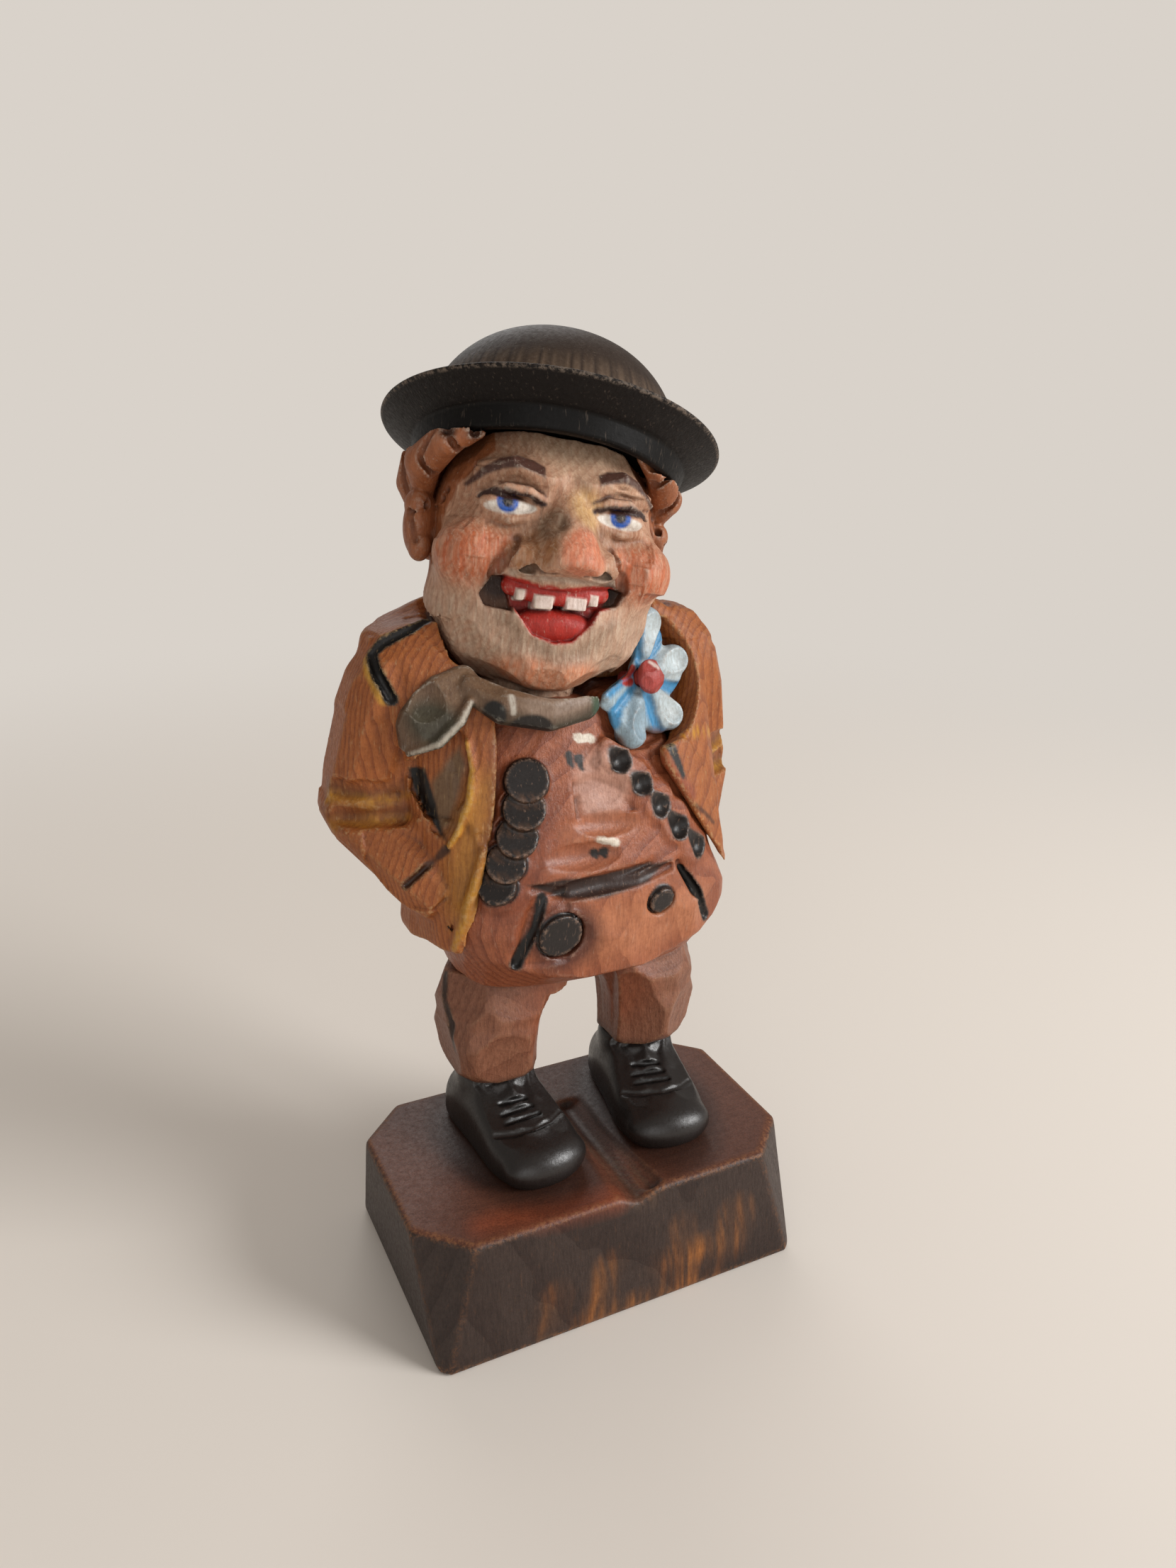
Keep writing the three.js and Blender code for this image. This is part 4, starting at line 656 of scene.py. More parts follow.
# Painted light on the sides that face up; painted shade on the undersides and in the wing's dish.
coat.lay("#7a5d44", coat.facing((-0.35, -0.6, 0.7), 0.4, 1.0), 0.7)
coat.lay("#2b2f24", coat.facing((0.4, -0.5, -0.75), 0.3, 0.9), 0.85)
coat.dab("#3d3e31", ball((-28, -3, 115.6), (4.6, 6, 3.4), (0, 35, 0)), 2.5, 0.85)
coat.dab("#8f7a6a", ball((-8, -9, 118.5), (6, 3, 2.2)), 2.0, 0.7)
coat.stroke("#b9b2a4", np.array(WING_EDGE) + [0, -1.2, 0.2], [0.5, 0.9, 0.9, 0.5], 0.5, 0.8)
coat.dab("#1d1a17", ball((-18.8, -6.6, 117.4), (1.4, 3, 2.0)), 0.5)
coat.dab("#241f1b", ball((-13.0, -8.2, 114.4), (3.6, 3, 2.5)), 0.5)
coat.stroke("#b5aea2", [(-16.2, -7.3, 120.5), (-16.0, -7.9, 117.9)], 1.0, 0.4, 0.9)
coat.dab("#2f4a34", ball((0.4, -6.5, 118.2), (1.6, 4, 3)), 1.0, 0.8)
coat.done()
# Thin oil paint on pine: dull grey-green with a little grain, and pale where its edges are rubbed.
kerchief_wood = carved_wood("painted_pine_neckerchief", pith=(-20, 150, 0), ring_mm=2.0, rings=0.3,
                            fibres=0.5, wear="#b9b2a4", worn=0.8, hollow_dirt_and_shade=0.6, roughness=0.45)
piece("neckerchief_painted", skin, kerchief_wood, "figure", "neckerchief_paint", "neckerchief")


# Flower: a small rosette carved from a disc, six broad petals painted pale blue over bright blue cuts.
# A red-headed peg through its middle pins it to the left lapel.
FLOWER_AT, PETALS_Z, DISH_Z = np.array([11.4, 2.0, 118.6]), 3.6, 2.7
FLOWER_CUTS = (92, 40, -24, -80, -152, 150)
look = np.array([0.36, -0.9, 0.24]) / np.linalg.norm([0.36, -0.9, 0.24])
aside = np.cross((0, 0, 1), look) / np.linalg.norm(np.cross((0, 0, 1), look))


def on_flower(angle, reach, rise):
    """A place on the flower: an angle in degrees round its middle, a reach from it, a rise from the back."""
    turn = math.radians(angle)
    outward = math.cos(turn) * aside + math.sin(turn) * np.cross(look, aside)
    return FLOWER_AT + reach * outward + rise * look


flower = Carving.of_node("flower", step=0.25)
flower.soften(0.3)
for angle in (66, 8, -52, -116):
    flower.add(stick([on_flower(angle, 5, 1.8), on_flower(angle, 10.4, 2.0)], [2.0, 3.0]), 0.5)
for angle in FLOWER_CUTS:
    cut = [on_flower(angle, 3, DISH_Z + 0.4), on_flower(angle + 3, 14, PETALS_Z - 0.4)]
    flower.cut(stick(cut, [0.7, 1.4]), 0.3)
    flower.cut(ball(on_flower(angle - 29, 8.5, PETALS_Z + 4.6), (5.0, 5.0, 5.0)), 0.2)
flower.clear(halves[1], 0.1)
skin = flower.mesh("flower_painted")
coat = Coat(skin, "#9fb6c2")
for angle in (64, 8, -50):
    coat.dab("#bcc6c8", ball(on_flower(angle, 8.5, 3), (3.6, 3.6, 3.6)), 2.5, 0.8)
coat.dab("#7d93a0", ball(on_flower(-116, 8.5, 3), (4, 4, 4)), 3.0, 0.7)
for angle in FLOWER_CUTS:
    cut = [on_flower(angle, 2, DISH_Z), on_flower(angle + 2, 8, 3), on_flower(angle + 3, 13, 2.4)]
    coat.stroke("#2f83b4", cut, [1.6, 2.4, 3.0], 0.9, 0.9)
coat.stroke("#6b4a36", [on_flower(a, 12.4, 1.6) for a in (-125, -105, -85, -65)], 2.2, 1.2, 0.85)
coat.stroke("#a5332f", [on_flower(150, 6.4, 3), on_flower(140, 3, 3)], [0.8, 1.8], 0.4)
coat.stroke("#a5332f", [on_flower(182, 5.2, 3), on_flower(190, 3, 3)], [0.6, 1.6], 0.4)
coat.done()
# Oil paint on pine: chalky pale blue with no rings, and brown wood at the rubbed rims of the petals.
flower_wood = carved_wood("painted_pine_flower", pith=(10, 90, 0), ring_mm=1.5, rings=0.1, fibres=0.4,
                          wear="#8c6f58", worn=0.7, hollow_dirt_and_shade=0.6, roughness=0.4)
piece("flower_painted", skin, flower_wood, "figure", "flower_paint", "flower")
peg = Carving.of_node("flower_peg", step=0.2)
peg.soften(0.3)
for angle in (30, 110, 200, 290):
    peg.shave(on_flower(angle, 0.4, 3.6), look + 0.9 * (on_flower(angle, 1, 0) - FLOWER_AT),
              depth=0.35, bow=8, reach=4)
skin = peg.mesh("flower_peg_painted")
coat = Coat(skin, "#a5433d")
# Painted highlight: a pale glint on the red head.
coat.stroke("#e0d3cc", [on_flower(95, 2.6, 5.5), on_flower(70, 1.4, 6.5)], 0.7, 0.4, 0.8)
coat.done()
# Red oil paint on a turned peg: fairly glossy, and rubbed to pink on the knife cuts.
peg_wood = carved_wood("red_paint_peg", pith=(10, 90, 0), ring_mm=1.5, rings=0.1, fibres=0.4,
                       wear="#d09a98", worn=0.8, hollow_dirt_and_shade=0.5, roughness=0.35)
piece("flower_peg_painted", skin, peg_wood, "figure", "peg_paint", "flower_peg")


# Head: a laughing face carved from one block with ears and locks of hair, tinted with thin washes.
# It stands on the neck dowel and can turn there. Everything here is in the head's own leaning frame.
def facets(low, high, cuts, rounding):
    """A block between two corners behind flat cuts, each with a way that it looks and a place on it."""
    def distance(p):
        depth = np.full(p.shape[:-1], -99.0)
        for look, at in cuts:
            flat = (p - np.array(at)) @ (np.array(look) / np.linalg.norm(look))
            depth = -blended(-depth, -flat, rounding)
        return depth
    return np.array(low, float), np.array(high, float), distance


def mirrored(path, side):
    """A path on the figure's left side, or the same path on its right side where side is -1."""
    return np.array(path, float) * (side, 1, 1)


HEAD_PITCH, HEAD_ROLL, HEAD_YAW = (math.radians(a) for a in (-6.2, 10.2, -13.0))
neck = Vector(frame["joints"][0]["pos_m"]) * 1000
head_turn = (Matrix.Translation(neck) @ Matrix.Rotation(HEAD_ROLL, 4, "Y")
             @ Matrix.Rotation(HEAD_PITCH, 4, "X") @ Matrix.Rotation(HEAD_YAW, 4, "Z"))
HEAD_TURNS = (-20, -10, 0, 10, 20)  # degrees, up to the joint's limits
JAW_GAP = 0.6  # from the jacket, at all of these
head = Carving((-30, -29, -1), (28, 25, 46), 0.3)
head.add(ball((0, 0.3, 27), (20.0, 18.4, 23.5)))
head.add(ball((-0.4, -2.6, 13.6), (20.0, 15.8, 13.4)), 5.0)
head.add(ball((0.4, -12.0, 5.4), (8.4, 5.8, 4.6)), 3.0)
head.add(stick([(0, 0, 1.5), (0, 0, 14)], 9.0))
BROW_RIDGE = [(3.6, -16.6, 35.6), (8.6, -16.4, 37.2), (14.6, -11.6, 35.4)]
for side in (-1, 1):
    head.add(ball((side * 13.4, -10.6, 22.4), (7.4, 7.2, 6.8)), 3.0)
    head.add(stick(mirrored(BROW_RIDGE, side), 1.7), 2.6)
head.whittle((0, -1, 20), count=160, depth=0.3, bow=14, reach=5)
for at, direction, depth, bow in (
        ((-12, 0, 39.5), (-0.6, -0.8, 0.2), 0.8, 40), ((-1, 0, 39.5), (0.05, -1, 0.25), 0.9, 40),
        ((9, 0, 39.5), (0.6, -0.8, 0.2), 0.8, 40), ((0, 0, 13), (-0.8, -0.6, -0.15), 0.7, 30),
        ((0, 0, 13), (0.8, -0.6, -0.15), 0.7, 30), ((0, -4, 6), (-0.6, -0.7, -0.3), 0.5, 25),
        ((0, -4, 6), (0.6, -0.7, -0.3), 0.5, 25), ((0, -4, 5), (0, -1, -0.2), 0.5, 30)):
    head.shave(at, direction, depth, bow, reach=9)
LID = [(4.0, -16.8, 32.0), (6.8, -17.2, 33.2), (10.3, -16.6, 33.4), (14.6, -13.0, 31.8)]
LOWER_LID = [(5.2, -16.4, 29.4), (9.5, -16.5, 28.3), (13.8, -13.6, 29.2)]
SMILE = [(8.0, -9, 25.6), (9.0, -9, 23.6), (10.0, -9, 21.6), (11.2, -8, 19.4)]
for side in (-1, 1):
    head.cut(ball((side * 9.6, -20.2, 31.4), (6.0, 3.8, 2.9), (0, side * 4, 0)), 1.2)
    head.add(ball((side * 9.5 - 0.3, -14.4, 30.8), (4.7, 2.7, 2.0)), 0.4)
    head.add(stick(mirrored(LID, side), [0.6, 0.9, 0.9, 0.5]), 0.5)
    head.add(stick(mirrored(LOWER_LID, side), 0.7), 0.9)
NOSE = [((0.12, -0.97, 0.2), (2.2, -26.4, 24.2)), ((0.05, -0.5, -0.87), (1.5, -23.6, 20.9)),
        ((0, 0, -1), (0, 0, 20.0)), ((-0.6, -0.74, 0.3), (-5.8, -22.6, 24.0)),
        ((0.78, -0.55, 0.28), (7.4, -22.4, 24.0)), ((0.05, -0.76, 0.65), (0.6, -22.0, 29.2)),
        ((-0.86, -0.3, 0.4), (-3.8, -18.4, 29.0)), ((0.86, -0.3, 0.4), (4.4, -18.4, 29.0)),
        ((-1, -0.2, -0.1), (-8.6, -17.5, 22.0)), ((1, -0.2, -0.1), (9.0, -17.5, 22.0)),
        ((0, 0, 1), (0, 0, 36))]
head.add(facets((-11, -29, 18), (11, -12, 38), NOSE, rounding=2.4), 0.9)
for wing in (ball((-6.8, -17.6, 22.6), (3.2, 3.6, 2.5)), ball((7.4, -17.8, 23.0), (2.7, 3.6, 2.4))):
    head.add(wing, 1.8)
head.cut(ball((-3.2, -22.6, 29.4), (2.6, 2.6, 2.2)), 0.4)
head.add(stick([(-8.5, -16.4, 20.0), (0.5, -18.0, 19.8), (9, -16.4, 20.6)], [0.9, 1.5, 0.9]), 1.2)
NOSTRILS = [[(-7.4, -19.0, 21.2), (-5.0, -21.0, 20.8), (-1.8, -21.8, 21.0)],
            [(3.4, -22.0, 21.0), (5.8, -20.8, 21.0), (7.8, -19.2, 21.6)]]
creases = []
for nostril in NOSTRILS:
    head.cut(stick(nostril, [0.7, 1.3, 0.7]), 0.3)
for side in (-1, 1):
    creases.append(head.gouge(mirrored(SMILE, side), [0.8, 1.2, 1.3, 1.0], depth=0.8))
MOUTH = [(-9.6, 19.3), (-3.7, 18.0), (2.3, 18.1), (6.8, 18.9), (8.2, 18.5), (7.6, 16.0), (6.2, 13.2),
         (3.2, 10.0), (0.2, 9.4), (-3.6, 10.4), (-7.0, 14.2)]
CORNERS = [[(-9.2, 19.4), (-11.2, 19.2), (-12.9, 16.0), (-11.8, 14.2), (-7.4, 13.8), (-7.6, 15.4),
            (-8.8, 17.4)],
           [(7.0, 18.6), (9.0, 19.5), (11.6, 19.0), (10.6, 16.6), (6.6, 15.4)]]
head.cut(stamp(MOUTH, -40, -14.0), 0.4)
for corner in CORNERS:
    head.cut(stamp(corner, -40, -13.2), 0.5)
GUM = [(-7.8, -14.8, 18.0), (-4, -16.0, 17.2), (0.8, -16.4, 17.1), (5, -16.0, 17.6), (7.6, -14.8, 18.2)]
head.add(stick(GUM, 1.6), 0.3)
teeth = []
for x, z, wide, tall in ((-6.4, 16.6, 0.7, 0.9), (-2.5, 15.8, 1.6, 1.1), (3.1, 16.1, 1.7, 1.0),
                         (6.2, 17.0, 0.7, 0.9)):
    outline = [(x - wide, z - tall), (x + wide, z - tall * 0.9), (x + wide, z + tall), (x - wide, z + tall)]
    teeth.append(stamp(outline, -18.2 + 0.02 * x * x, -14))
    head.add(teeth[-1], 0.1)
tongue = ball((0.2, -13.6, 11.6), (7.8, 4.2, 3.2), (-30, 0, 0))
head.add(tongue, 0.4)
LIP_SHADE = [(-10.6, -18.2, 13.0), (-6.2, -18.8, 9.4), (1.0, -20.0, 6.9), (7.6, -18.8, 8.8),
             (11.2, -17.6, 13.6)]
head.cut(stick(LIP_SHADE, [0.8, 1.6, 1.8, 1.6, 0.8]), 1.4)
HAIR_SHIFT = -1.3
HAIR = [([(14.5, -13, 42), (19, -9.4, 39.8), (21.6, -4, 36.4), (20.8, 0, 32.4)], [1.6, 2.8, 3.2, 2.0]),
        ([(19.5, -4, 41), (21.8, 2, 38), (22.0, 6, 33.6), (20.4, 9, 29.4)], [2.4, 3, 3, 2]),
        ([(18.6, 5, 41), (19.4, 10, 36), (18.4, 13, 29), (17, 13.6, 22.6)], [2.6, 3.1, 3.1, 2.0]),
        ([(14, 12, 40), (13.6, 15.8, 33), (12.6, 16.2, 26), (11.6, 14.6, 19.6)], [3, 3.2, 3, 2.0]),
        ([(6, 15.4, 40), (5, 17.8, 32), (5.6, 17.4, 24), (4.8, 15.4, 18.6)], [3, 3.2, 3, 2.0])]
locks = []
for side in (-1, 1):
    for path, radii in HAIR:
        locks.append(stick([(side * x + HAIR_SHIFT, y, z) for x, y, z in path], radii))
    locks.append(ball((side * 20.6 + HAIR_SHIFT, 0.8, 26.4), (3.0, 4.4, 6.0), (12, 0, side * 12)))
    locks.append(ball((side * 21.6 + HAIR_SHIFT, -1.4, 29.6), (2.3, 3.0, 2.7)))
    locks.append(ball((side * 20.6 + HAIR_SHIFT, -1.2, 22.8), (2.1, 2.8, 2.8)))
for lock in locks:
    head.add(lock, 0.4)
HAIRLINE = [(17.2, -11.5, 40.4), (16.4, -10.4, 37.6), (18.2, -7.4, 33.4), (19.4, -5.2, 27.4),
            (19.0, -4.2, 20.8)]
HAIR_CUTS = [[(-8, 41), (-5, 37), (-3, 32.5)], [(-2, 41), (1, 36.5), (2.5, 31)],
             [(4, 40), (6.5, 34), (7.5, 27)], [(-2.2, 31), (0.4, 28), (-0.8, 23.5)],
             [(9, 39), (11, 32), (11, 24)], [(-10.5, 40), (-8.5, 36.5)]]
for side in (-1, 1):
    creases.append(stick([(side * x + HAIR_SHIFT * 0.5, y, z) for x, y, z in HAIRLINE], 0.7))
    head.cut(creases[-1], 0.3)
    for path in HAIR_CUTS:
        cut = [(side * 12, y, z) for y, z in path]
        creases.append(head.gouge(cut, radius=0.7, depth=0.45, direction=(side, -0.25, 0)))
pits = [ball((-20.6, -13.6, 41.2), (1.2, 2.4, 1.0)), ball((-16.2, -15.2, 41.4), (1.1, 2.4, 1.1))]
for pit in pits:
    head.cut(pit)
HAT_TIP, HAT_ROLL = (math.radians(a) for a in (-14.5, 3.6))
hat_turn = (Matrix.Translation((-0.2, 2.7, 37)) @ Matrix.Rotation(HAT_ROLL, 4, "Y")
            @ Matrix.Rotation(HAT_TIP, 4, "X"))
SEAT_RADIUS, SEAT_DEPTH, GLUE_GAP = 21.2, 2.2, 0.3
_, places = head.window()
in_hat = (places - np.array(hat_turn.translation)) @ np.array(hat_turn.to_3x3())
plug = np.maximum(np.hypot(in_hat[..., 0], in_hat[..., 1]) - SEAT_RADIUS, in_hat[..., 2] - SEAT_DEPTH)
head.field = np.maximum(head.field, np.minimum(in_hat[..., 2] + GLUE_GAP, plug))
for angle in HEAD_TURNS:
    for half in halves:
        head.clear(half, JAW_GAP, head_turn @ Matrix.Rotation(math.radians(angle), 4, "Z"))
skin = head.mesh("head_carved", head_turn)
coat = Coat(skin, "#bd9074", head_turn, 0.5)
height = coat.places[:, 2]
wash = 0.55 + 0.45 * coat.brushed(0.7)
in_front = coat.facing(FRONT, -0.2, 0.5)
coat.lay("#b59d88", np.clip((19 - height) / 6, 0, 1) * in_front, 0.85 * wash)
coat.dab("#c4a489", ball((6, -17, 40), (11, 8, 5)), 4.0, 0.8 * wash)
coat.dab("#d2b498", ball((1, -17, 42), (13, 8, 2.6)), 2.5, 0.8 * wash)
coat.dab("#a47d63", ball((-13, -14, 39), (7, 8, 5)), 4.0, 0.8 * wash)
coat.dab("#c9a564", ball((2.6, -18, 31), (2.6, 4, 3.5)), 2.0, 0.6)
for side in (-1, 1):
    coat.dab("#b95f36", ball((side * 14.2, -14.4, 22.6), (6.4, 7, 4.6), (0, side * 15, 0)), 3.0, 0.95 * wash)
    coat.dab("#8f6a50", ball((side * 9.4, -17, 27.6), (5.4, 4, 1.2)), 1.6, 0.6)
coat.dab("#9a683f", ball((-5.0, -20, 23.6), (4.8, 5, 3.4)), 1.2, 0.9 * wash)
coat.dab("#cc7c5c", ball((2.6, -25.4, 24.4), (4.2, 5, 4.2)), 1.4, 0.95)
# Painted shade in the hollow beside the nose bridge.
coat.dab("#715a45", ball((-3.6, -20.5, 28.6), (3.0, 3, 2.6)), 2.0, 0.8)
coat.dab("#c87f5a", ball((0.6, -17, 3.4), (13, 8, 3.0)), 2.0, 0.95 * wash)
coat.stroke("#8b735e", LIP_SHADE, [1.5, 3.0, 3.2, 3.0, 1.5], 2.0, 0.7)
coat.stroke("#b3a595", [(-8, -18, 20.4), (0.5, -20, 20.2), (8.5, -18, 20.9)], 2.0, 1.0, 0.75)
coat.lay("#e0cdb4", np.clip(3.2 * coat.brushed(0.45) - 1.9, 0, 1) * in_front, 0.2)
coat.lay("#8f5330", np.clip(1.3 - 3.6 * coat.brushed(0.6), 0, 1) * in_front, 0.2)
# Painted shade under the nose, in the nostril cuts.
for nostril in NOSTRILS:
    coat.stroke("#5c3f2a", nostril, [0.9, 1.6, 0.9], 0.6, 0.85)
inside = np.clip(0.5 - (stamp(MOUTH, -40, -9)[2](coat.places) - 0.3) / 0.4, 0, 1)
coat.lay("#a2281f", inside * np.clip((coat.places[:, 1] + 19.6) / 0.6, 0, 1))
# Painted shade in the hollows at the mouth corners, darkest at their backs.
for corner in CORNERS:
    coat.dab("#5b3a25", stamp(corner, -40, -9), 0.7, 0.9, 0.1)
    middle = np.mean(corner, axis=0)
    coat.dab("#24130c", ball((middle[0], -15, middle[1] + 0.9), (2.2, 6, 1.7)), 1.8, 0.85)
coat.stroke("#a8291f", GUM, 3.2, 0.5)
coat.dab("#a8291f", tongue, 0.5)
# Painted shade: dark red between the teeth and the tongue.
coat.stroke("#4a0f0d", [(-7, -15, 14.8), (0, -15, 14.2), (7, -15, 15.2)], 1.6, 1.2, 0.85)
for tooth in teeth:
    coat.dab("#e4dad0", tooth, 0.3, 1.0, 0.1)
BROW = [(4.4, 37.4), (6.4, 38.4), (9.0, 38.8), (11.8, 38.0), (14.2, 36.4), (16.4, 33.6),
        (15.8, 33.2), (13.6, 35.2), (11.2, 36.3), (8.8, 36.7), (6.2, 36.2), (4.6, 35.6)]
for side in (-1, 1):
    white = ball((side * 9.4 - 0.2, -16.4, 30.4), (4.4, 3, 1.1), (0, side * 3, 0))
    coat.dab("#ddd6cc", white, 0.3, 1.0, 0.0)
    coat.dab("#2c5db6", ball((side * 9.6 - 0.5, -16.8, 31.2), (1.4, 2.4, 1.3)), 0.3)
    coat.dab("#121218", ball((side * 9.6 - 0.5, -17.0, 31.3), (0.55, 2.4, 0.6)), 0.3)
    coat.stroke("#38201a", mirrored(LID, side) + [0, 0, -0.3], [0.8, 1.8, 1.9, 0.7], 0.4)
    coat.stroke("#4a2a1e", mirrored(LID, side) + [0, 0, 0.9], [0.4, 1.1, 1.2, 0.5], 0.5, 0.9)
    coat.dab("#452720", stamp([(side * x, z) for x, z in BROW], -40, 0), 0.4, 0.95, 0.0)
hair = np.zeros(len(coat.places))
for lock in locks:
    hair = np.maximum(hair, np.clip(0.5 - (lock[2](coat.places) - 0.4) / 0.4, 0, 1))
parting = np.interp(height, [z for _, _, z in HAIRLINE[::-1]], [y for _, y, _ in HAIRLINE[::-1]])
behind = np.clip((coat.places[:, 1] - parting) / 0.6, 0, 1) * (np.abs(coat.places[:, 0]) > 12)
behind = np.maximum(behind, coat.places[:, 1] > 2)
hair = np.maximum(hair, behind * np.clip((height - 13) / 6, 0, 1))
coat.lay("#94552f", hair, 0.85 + 0.1 * wash)
# Painted shade in the smile folds, along the hairline and in the cuts of the hair.
for crease in creases:
    coat.dab("#5a2d18", crease, 0.6, 0.65, 0.1)
for pit in pits:
    coat.dab("#2a140c", pit, 0.8, 0.85)
coat.done()
# Pine under thin washes: fibres show through the flesh colours, and what stands out is rubbed pale.
face_wood = carved_wood("washed_pine_head", pith=(-40, 70, 0), ring_mm=1.6, rings=0.3, fibres=0.3,
                        wear="#dccbb8", worn=0.4, hollow_dirt_and_shade=0.7, roughness=0.5, scuffs=0.25)
piece("head_carved", skin, face_wood, "head_and_hat", "face_wash", "head")


# Hat: turned on a lathe from one block, with a flared brim and a recess that seats on the head.
# It is painted black, and the band under the brim darker still as painted shade; handling has rubbed
# the lip and the foot of the crown back to brown wood.
BRIM_RADIUS, BRIM_FOOT, BAND_RADIUS, BAND_TOP, LIP = 30.4, 24.9, 23.6, 3.6, 7.4
CROWN_RADIUS, CROWN_TOP = 23.0, 25.4
HAT_STEPS = 240
crown_foot = LIP - 1.5
recess = SEAT_DEPTH + GLUE_GAP
profile = [(0.0, recess), (SEAT_RADIUS + GLUE_GAP, recess), (SEAT_RADIUS + 0.7, 0.15),
           (SEAT_RADIUS + 1.0, 0.0), (BAND_RADIUS - 0.3, 0.0), (BAND_RADIUS, 0.2)]
profile += [(BAND_RADIUS + t, 0.2 + (BAND_TOP - 0.2) * t) for t in np.linspace(0.1, 0.97, 8)]
profile += [(BRIM_FOOT + (BRIM_RADIUS - BRIM_FOOT) * t ** 0.9, BAND_TOP + (LIP - 0.5 - BAND_TOP) * t)
            for t in np.linspace(0, 0.97, 14)]
profile += [(BRIM_RADIUS + 0.3 * math.cos(a) - 0.3, LIP - 0.35 + 0.35 * math.sin(a))
            for a in np.linspace(0, 1.5, 5)]
profile += [(BRIM_RADIUS - 1.0 - 6.4 * t, LIP - 0.1 - 1.4 * t) for t in np.linspace(0, 1, 12)]
profile += [(CROWN_RADIUS * math.cos(a) ** 0.85, crown_foot + (CROWN_TOP - crown_foot) * math.sin(a))
            for a in np.linspace(0.03, 1.55, 40)]
profile += [(0.0, CROWN_TOP)]
shape = bmesh.new()
ring = [shape.verts.new((r / 1000, 0, z / 1000)) for r, z in profile]
for a, b in zip(ring, ring[1:]):
    shape.edges.new((a, b))
bmesh.ops.spin(shape, geom=shape.verts[:] + shape.edges[:], cent=(0, 0, 0), axis=(0, 0, 1),
               angle=2 * math.pi, steps=HAT_STEPS, use_merge=True)
bmesh.ops.remove_doubles(shape, verts=shape.verts[:], dist=1e-6)
bmesh.ops.recalc_face_normals(shape, faces=shape.faces[:])
whole_turn = head_turn @ hat_turn
in_metres = Matrix.Translation(whole_turn.translation / 1000) @ whole_turn.to_3x3().to_4x4()
bmesh.ops.transform(shape, matrix=in_metres, verts=shape.verts[:])
skin = bpy.data.meshes.new("hat_turned")
shape.to_mesh(skin)
shape.free()
skin.shade_smooth()
coat = Coat(skin, "#191513", whole_turn)
radius, height = np.hypot(coat.places[:, 0], coat.places[:, 1]), coat.places[:, 2]
around = np.arctan2(coat.places[:, 1], coat.places[:, 0])
threads = 0.5 + 0.35 * np.sin(61 * around + 3 * np.sin(7 * around)) + 0.35 * np.sin(137 * around)
threads = np.clip(threads, 0, 1)
# Painted shade: the band under the brim is near-black.
coat.lay("#0a0807", np.clip((BAND_TOP - height) / 0.4 + 0.5, 0, 1) * (height < LIP))
crown = np.clip((height - LIP) / 1.5, 0, 1)
coat.lay("#382d26", crown, 0.9)
coat.lay("#8f7863", crown * np.clip(1 - (height - LIP) / 8, 0, 1) * threads, 0.85)
lip = np.exp(-((radius - BRIM_RADIUS + 0.15) / 0.35) ** 2)
coat.done(rubbed=lip * 0.16)
# Flat black paint on turned pine: dull, with brown wood at the lip and fine scuffs all over.
hat_wood = carved_wood("black_paint_hat", pith=(0, 0, 0), ring_mm=2.0, rings=0.1, fibres=0.25,
                       wear="#77695d", worn=0.8, hollow_dirt_and_shade=0.3, roughness=0.5, scuffs=0.25, sheen=0.15)
piece("hat_turned", skin, hat_wood, "head_and_hat", "hat_paint", "hat")


# Dowels: plain turned hardwood pegs, hidden in the wood, that hold the figure together.
# They are left bare, and glued in their holes.

# Bare beech: pale, close-grained and without any shine.
bare_beech = carved_wood("bare_beech_dowel", pith=(0, 30, 0), ring_mm=1.2, rings=0.3, fibres=0.4,
                         wear="#d8b88c", worn=0.2, hollow_dirt_and_shade=0.3, roughness=0.6)
for name in ("right_leg_dowel", "left_leg_dowel", "right_arm_dowel", "left_arm_dowel", "hat_dowel",
             "neck_dowel"):
    rod = frame["nodes"][name].data.copy()
    shape = bmesh.new()
    shape.from_mesh(rod)
    bmesh.ops.remove_doubles(shape, verts=shape.verts[:], dist=1e-6)
    shape.to_mesh(rod)
    shape.free()
    rod.materials.clear()
    coat = Coat(rod, "#c9a06c")
    coat.done()
    body = "head_and_hat" if name == "hat_dowel" else "figure"
    piece(name + "_turned", rod, bare_beech, body, "dowel_wood", name)


# Setting: a pale floor that runs out into a backdrop of the same colour, broad soft lamps with the
# brightest at the front right, and a camera at the photograph's angle.
CAMERA_AT = Vector((-86.0, -176.1, 170.7))
CAMERA_AZIMUTH, CAMERA_ELEVATION, CAMERA_ROLL = (math.radians(a) for a in (-26.56, 19.77, 0.88))
LENS_MM = 26.04
back = Vector((math.sin(CAMERA_AZIMUTH) * math.cos(CAMERA_ELEVATION),
               -math.cos(CAMERA_AZIMUTH) * math.cos(CAMERA_ELEVATION), math.sin(CAMERA_ELEVATION)))
across = Vector((math.cos(CAMERA_AZIMUTH), math.sin(CAMERA_AZIMUTH), 0))
above = back.cross(across)
rolled = across * math.cos(CAMERA_ROLL) + above * math.sin(CAMERA_ROLL)
camera = bpy.data.objects.new("camera", bpy.data.cameras.new("camera"))
camera.data.lens = LENS_MM
camera.data.sensor_width = 36.0
camera.data.clip_start = 0.005
camera.matrix_world = (Matrix.Translation(CAMERA_AT / 1000)
                       @ Matrix((rolled, back.cross(rolled), back)).transposed().to_4x4())
scene.collection.objects.link(camera)
scene.camera = camera

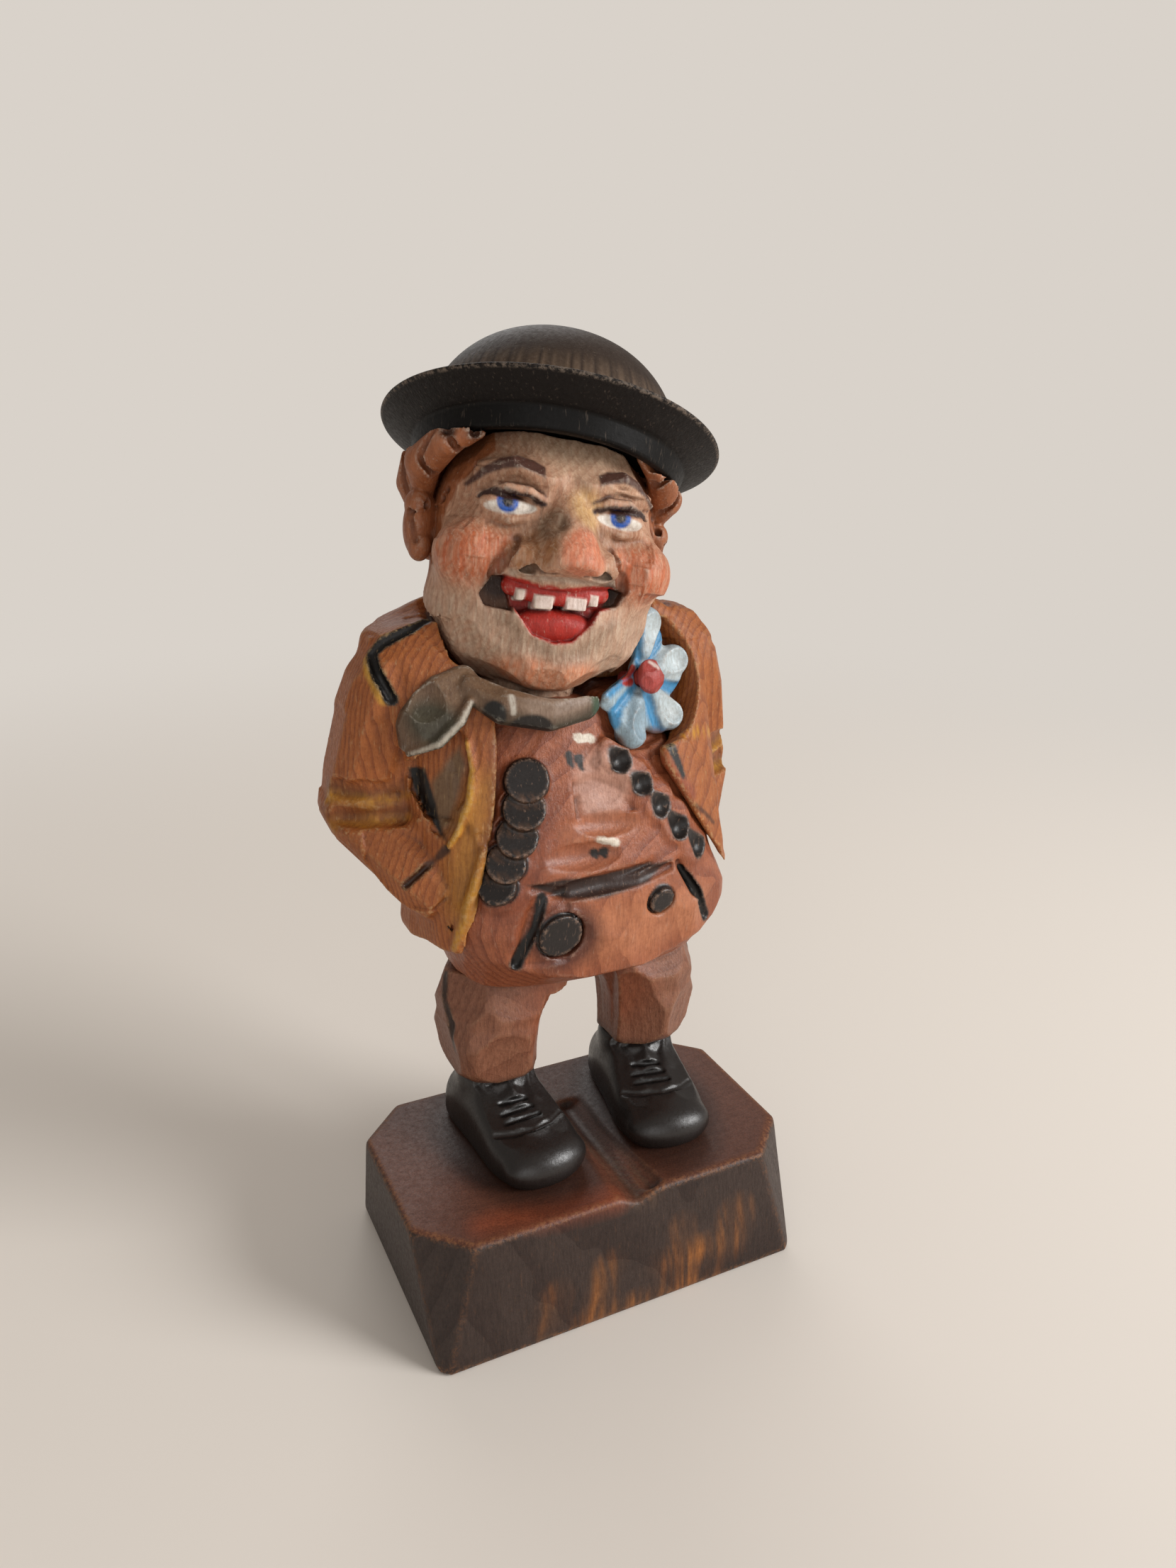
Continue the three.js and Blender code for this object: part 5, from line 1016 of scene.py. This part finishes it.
BACKDROP = (*linear("#d9d2ca"), 1)
floor_shape = bmesh.new()
bmesh.ops.create_grid(floor_shape, x_segments=1, y_segments=1, size=6.0)
floor_skin = bpy.data.meshes.new("floor")
floor_shape.to_mesh(floor_skin)
floor_shape.free()
floor = bpy.data.objects.new("floor", floor_skin)
# Matt paper: no shine, a soft shadow, and it fades into the backdrop's colour away from the object.
paper = bpy.data.materials.new("matt_paper")
paper.use_nodes = True
tree = paper.node_tree
matt = tree.nodes["Principled BSDF"]
matt.inputs["Base Color"].default_value = (*linear("#e0d8cf"), 1)
matt.inputs["Roughness"].default_value = 0.9
place = add(tree, "TexCoord").outputs["Object"]
reach = add(tree, "VectorMath", {0: place}, operation="LENGTH").outputs["Value"]
FADE_FROM, FADE_TO = 0.15, 0.6  # metres from the figure
far = add(tree, "MapRange", {0: reach, 1: FADE_FROM, 2: FADE_TO},
          interpolation_type="SMOOTHSTEP").outputs[0]
glow = add(tree, "Emission", {"Color": BACKDROP}).outputs[0]
swept = add(tree, "MixShader", {0: far, 1: matt.outputs[0], 2: glow}).outputs[0]
tree.links.new(swept, tree.nodes["Material Output"].inputs["Surface"])
floor_skin.materials.append(paper)
scene.collection.objects.link(floor)

FIGURE_MIDDLE = Vector((0, 0, 0.09))
for name, at, size, power in (("key", (0.74, -0.68, 0.52), 0.55, 12.5),
                              ("fill", (-0.5, -0.9, 0.3), 0.9, 2.8), ("rim", (0.2, 0.9, 0.8), 0.8, 3.0)):
    lamp = bpy.data.objects.new(name, bpy.data.lights.new(name, "AREA"))
    lamp.data.shape = "DISK"
    lamp.data.size = size
    lamp.data.energy = power
    lamp.location = at
    lamp.rotation_euler = (FIGURE_MIDDLE - Vector(at)).to_track_quat("-Z", "Y").to_euler()
    scene.collection.objects.link(lamp)
world = bpy.data.worlds.new("studio")
world.use_nodes = True
tree = world.node_tree
seen = add(tree, "LightPath").outputs["Is Camera Ray"]
soft = add(tree, "Background", {"Color": BACKDROP, "Strength": 0.5}).outputs[0]
wall = add(tree, "Background", {"Color": BACKDROP, "Strength": 1.0}).outputs[0]
lit = add(tree, "MixShader", {0: seen, 1: soft, 2: wall}).outputs[0]
tree.links.new(lit, tree.nodes["World Output"].inputs["Surface"])
scene.world = world
scene.view_settings.view_transform = "Standard"
